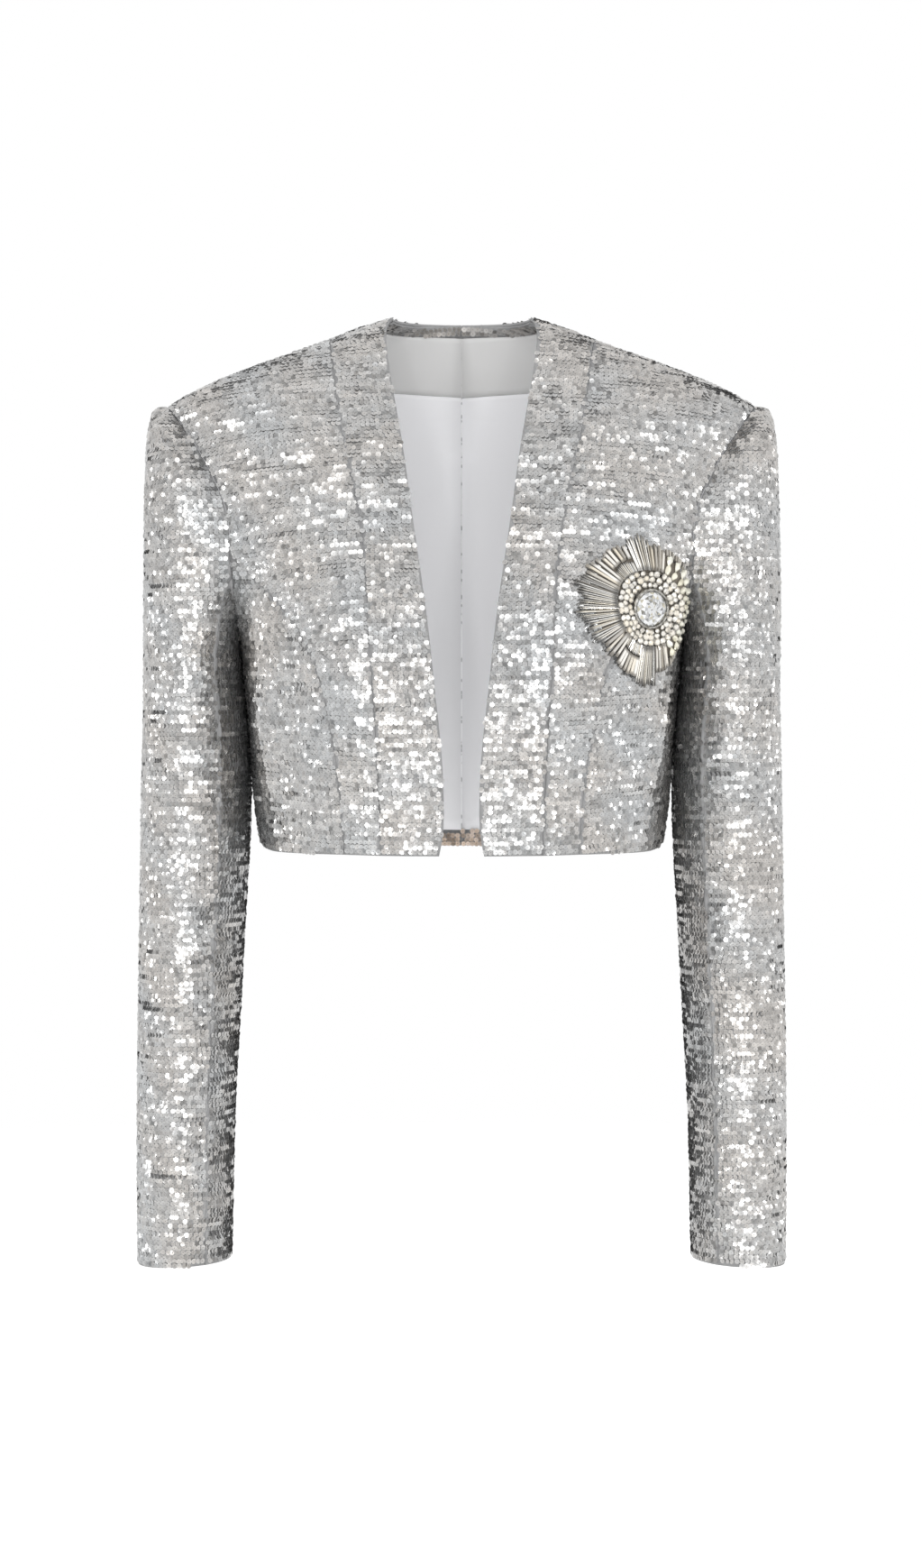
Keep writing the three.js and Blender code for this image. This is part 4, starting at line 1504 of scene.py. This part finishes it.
@dataclass(frozen=True)
class Lamp:
    """An area light: where it is, where it points, its size in metres and its power in watts."""

    name: str
    place: Triple
    target: Triple
    size: float
    power: float
    colour: Colour = (1.0, 1.0, 1.0)

    def made(self) -> None:
        """Adds the light."""
        data = bpy.data.lights.new(self.name, "AREA")
        data.shape = "DISK"
        data.size = self.size
        data.energy = self.power
        data.color = self.colour
        lamp = bpy.data.objects.new(self.name, data)
        lamp.visible_camera = False
        lamp.location = self.place
        way = Vector(self.target) - Vector(self.place)
        lamp.rotation_euler = way.to_track_quat("-Z", "Y").to_euler()
        bpy.context.scene.collection.objects.link(lamp)


@dataclass
class Studio:
    """The camera, the pale floor and the soft light, in metres and watts."""

    distance: float = 2.9
    eye: float = -0.258
    middle: tuple[float, float] = (-0.0004, -0.333)
    frame_height: float = 1.130
    floor: float = -0.86
    floor_radius: float = 2.7
    lamps: tuple[Lamp, ...] = (
        Lamp("sparkle_left", (-0.55, -3.3, -0.15), (0, 0, -0.3), 0.24, 6),
        Lamp("sparkle_right", (0.65, -3.2, -0.35), (0, 0, -0.35), 0.22, 6),
        Lamp("sparkle_low", (0.1, -3.2, -1.2), (0, 0, -0.35), 0.2, 1.5),
        Lamp("sparkle_side_left", (-2.4, -1.9, 0.35), (0, 0, -0.3), 0.26, 6),
        Lamp("sparkle_side_right", (2.4, -1.8, 0.25), (0, 0, -0.3), 0.26, 6),
        Lamp("sparkle_far_left", (-2.9, 0.3, -0.35), (0, 0, -0.3), 0.28, 6),
        Lamp("sparkle_far_right", (2.9, 0.35, -0.25), (0, 0, -0.3), 0.28, 6),
        Lamp("front_fill", (0, -3.4, 0.5), (0, 0, -0.3), 2.4, 26),
        Lamp("sparkle_behind", (0.5, 3.2, 0.2), (0, 0, -0.35), 0.24, 20),
    )

    def made(self) -> None:
        """Builds the studio."""
        data = bpy.data.cameras.new("camera")
        data.sensor_fit = "VERTICAL"
        data.sensor_height = 36.0
        data.lens = data.sensor_height * self.distance / self.frame_height
        data.shift_y = (self.middle[1] - self.eye) / self.frame_height
        data.clip_start = 0.05
        camera = bpy.data.objects.new("camera", data)
        camera.location = (self.middle[0], -self.distance, self.eye)
        camera.rotation_euler = (math.pi / 2, 0, 0)
        bpy.context.scene.collection.objects.link(camera)
        bpy.context.scene.camera = camera
        bpy.context.scene.view_settings.view_transform = "Standard"
        self._floor()
        self._surroundings()
        for lamp in self.lamps:
            lamp.made()

    def _floor(self) -> None:
        """Lays the round pale floor."""
        bm = bmesh.new()
        bmesh.ops.create_circle(bm, cap_ends=True, radius=self.floor_radius, segments=96)
        bmesh.ops.translate(bm, verts=bm.verts, vec=(0, 0, self.floor))
        mesh = mesh_of(bm, "floor")
        mesh.materials.append(FloorFinish().material())
        floor = bpy.data.objects.new("floor", mesh)
        bpy.context.scene.collection.objects.link(floor)

    def _surroundings(self) -> None:
        """Soft surroundings, a little dimmer in front and brighter above, in front of plain white."""
        world = bpy.data.worlds.new("studio")
        world.use_nodes = True
        bpy.context.scene.world = world
        graph = Graph(world.node_tree)
        way = graph.node("ShaderNodeTexCoord").outputs["Generated"]
        _, y, z = graph.parts(way)
        front = (y * -1.4 - 0.35).clamped()
        above = (z * 1.2 + 0.1).clamped()
        soft = 0.95 - front * 0.02 + above * 0.14
        seen = graph.node("ShaderNodeLightPath").outputs["Is Camera Ray"]
        light = graph.node("ShaderNodeBackground", {}, {"Color": (1, 1, 1), "Strength": soft})
        plain = graph.node("ShaderNodeBackground", {}, {"Color": (1, 1, 1), "Strength": 1.0})
        both = graph.node("ShaderNodeMixShader", {}, {0: seen, 1: light.outputs[0], 2: plain.outputs[0]})
        graph.node("ShaderNodeOutputWorld", {}, {"Surface": both.outputs[0]})


# The blazer


@dataclass
class Blazer:
    """The whole blazer: its cut pieces, the lining that shows inside the back, and the sunburst."""

    drape: Drape = field(default_factory=Drape)
    rows: SequinRows = field(default_factory=lambda: SequinRows(cupped_sequin(1.95 * MM, 0.13 * MM)))
    sunburst: Sunburst = field(default_factory=Sunburst)

    def pieces(self) -> list[CutPiece]:
        """Lists the cut pieces of both sides."""
        cut = (
            ("front_band", Part.FRONT, Finish.BACKING, Finish.SEQUINS),
            ("front_middle", Part.FRONT, Finish.BACKING, Finish.SEQUINS),
            ("front_side", Part.FRONT, Finish.BACKING, Finish.SEQUINS),
            ("back", Part.BACK, Finish.BACKING, Finish.SEQUINS),
            ("sleeve_upper", Part.SLEEVE, Finish.BACKING, Finish.SEQUINS),
            ("sleeve_under", Part.SLEEVE, Finish.BACKING, Finish.SEQUINS),
            ("back_neck_strip", Part.BACK, Finish.BACKING, Finish.INNER_SEQUINS),
            ("back_facing", Part.BACK, Finish.FACING, None),
            ("back_lining", Part.BACK, Finish.LINING, None),
            ("back_hem_strip", Part.BACK, Finish.BACKING, Finish.HEM_SEQUINS),
        )
        return [
            CutPiece(f"{name}_{hand}", part, finish, "sequin_cloth" if sequins else "lining_cloth", sequins)
            for hand in ("left", "right")
            for name, part, finish, sequins in cut
        ]

    def made(self) -> None:
        """Makes every piece in order."""
        rng = np.random.default_rng(SEED)
        pieces = self.pieces()
        for piece in pieces:
            piece.made(self.drape, self.rows, rng)
        carrying = [piece.shell for piece in pieces
                    if piece.node in ("front_band_left", "front_middle_left", "front_side_left")]
        self.sunburst.made(carrying, rng)


def main() -> None:
    """Builds the studio and the blazer."""
    logging.basicConfig(level=logging.INFO, format="%(name)s: %(message)s")
    Studio().made()
    Blazer().made()


if __name__ == "__main__":
    main()
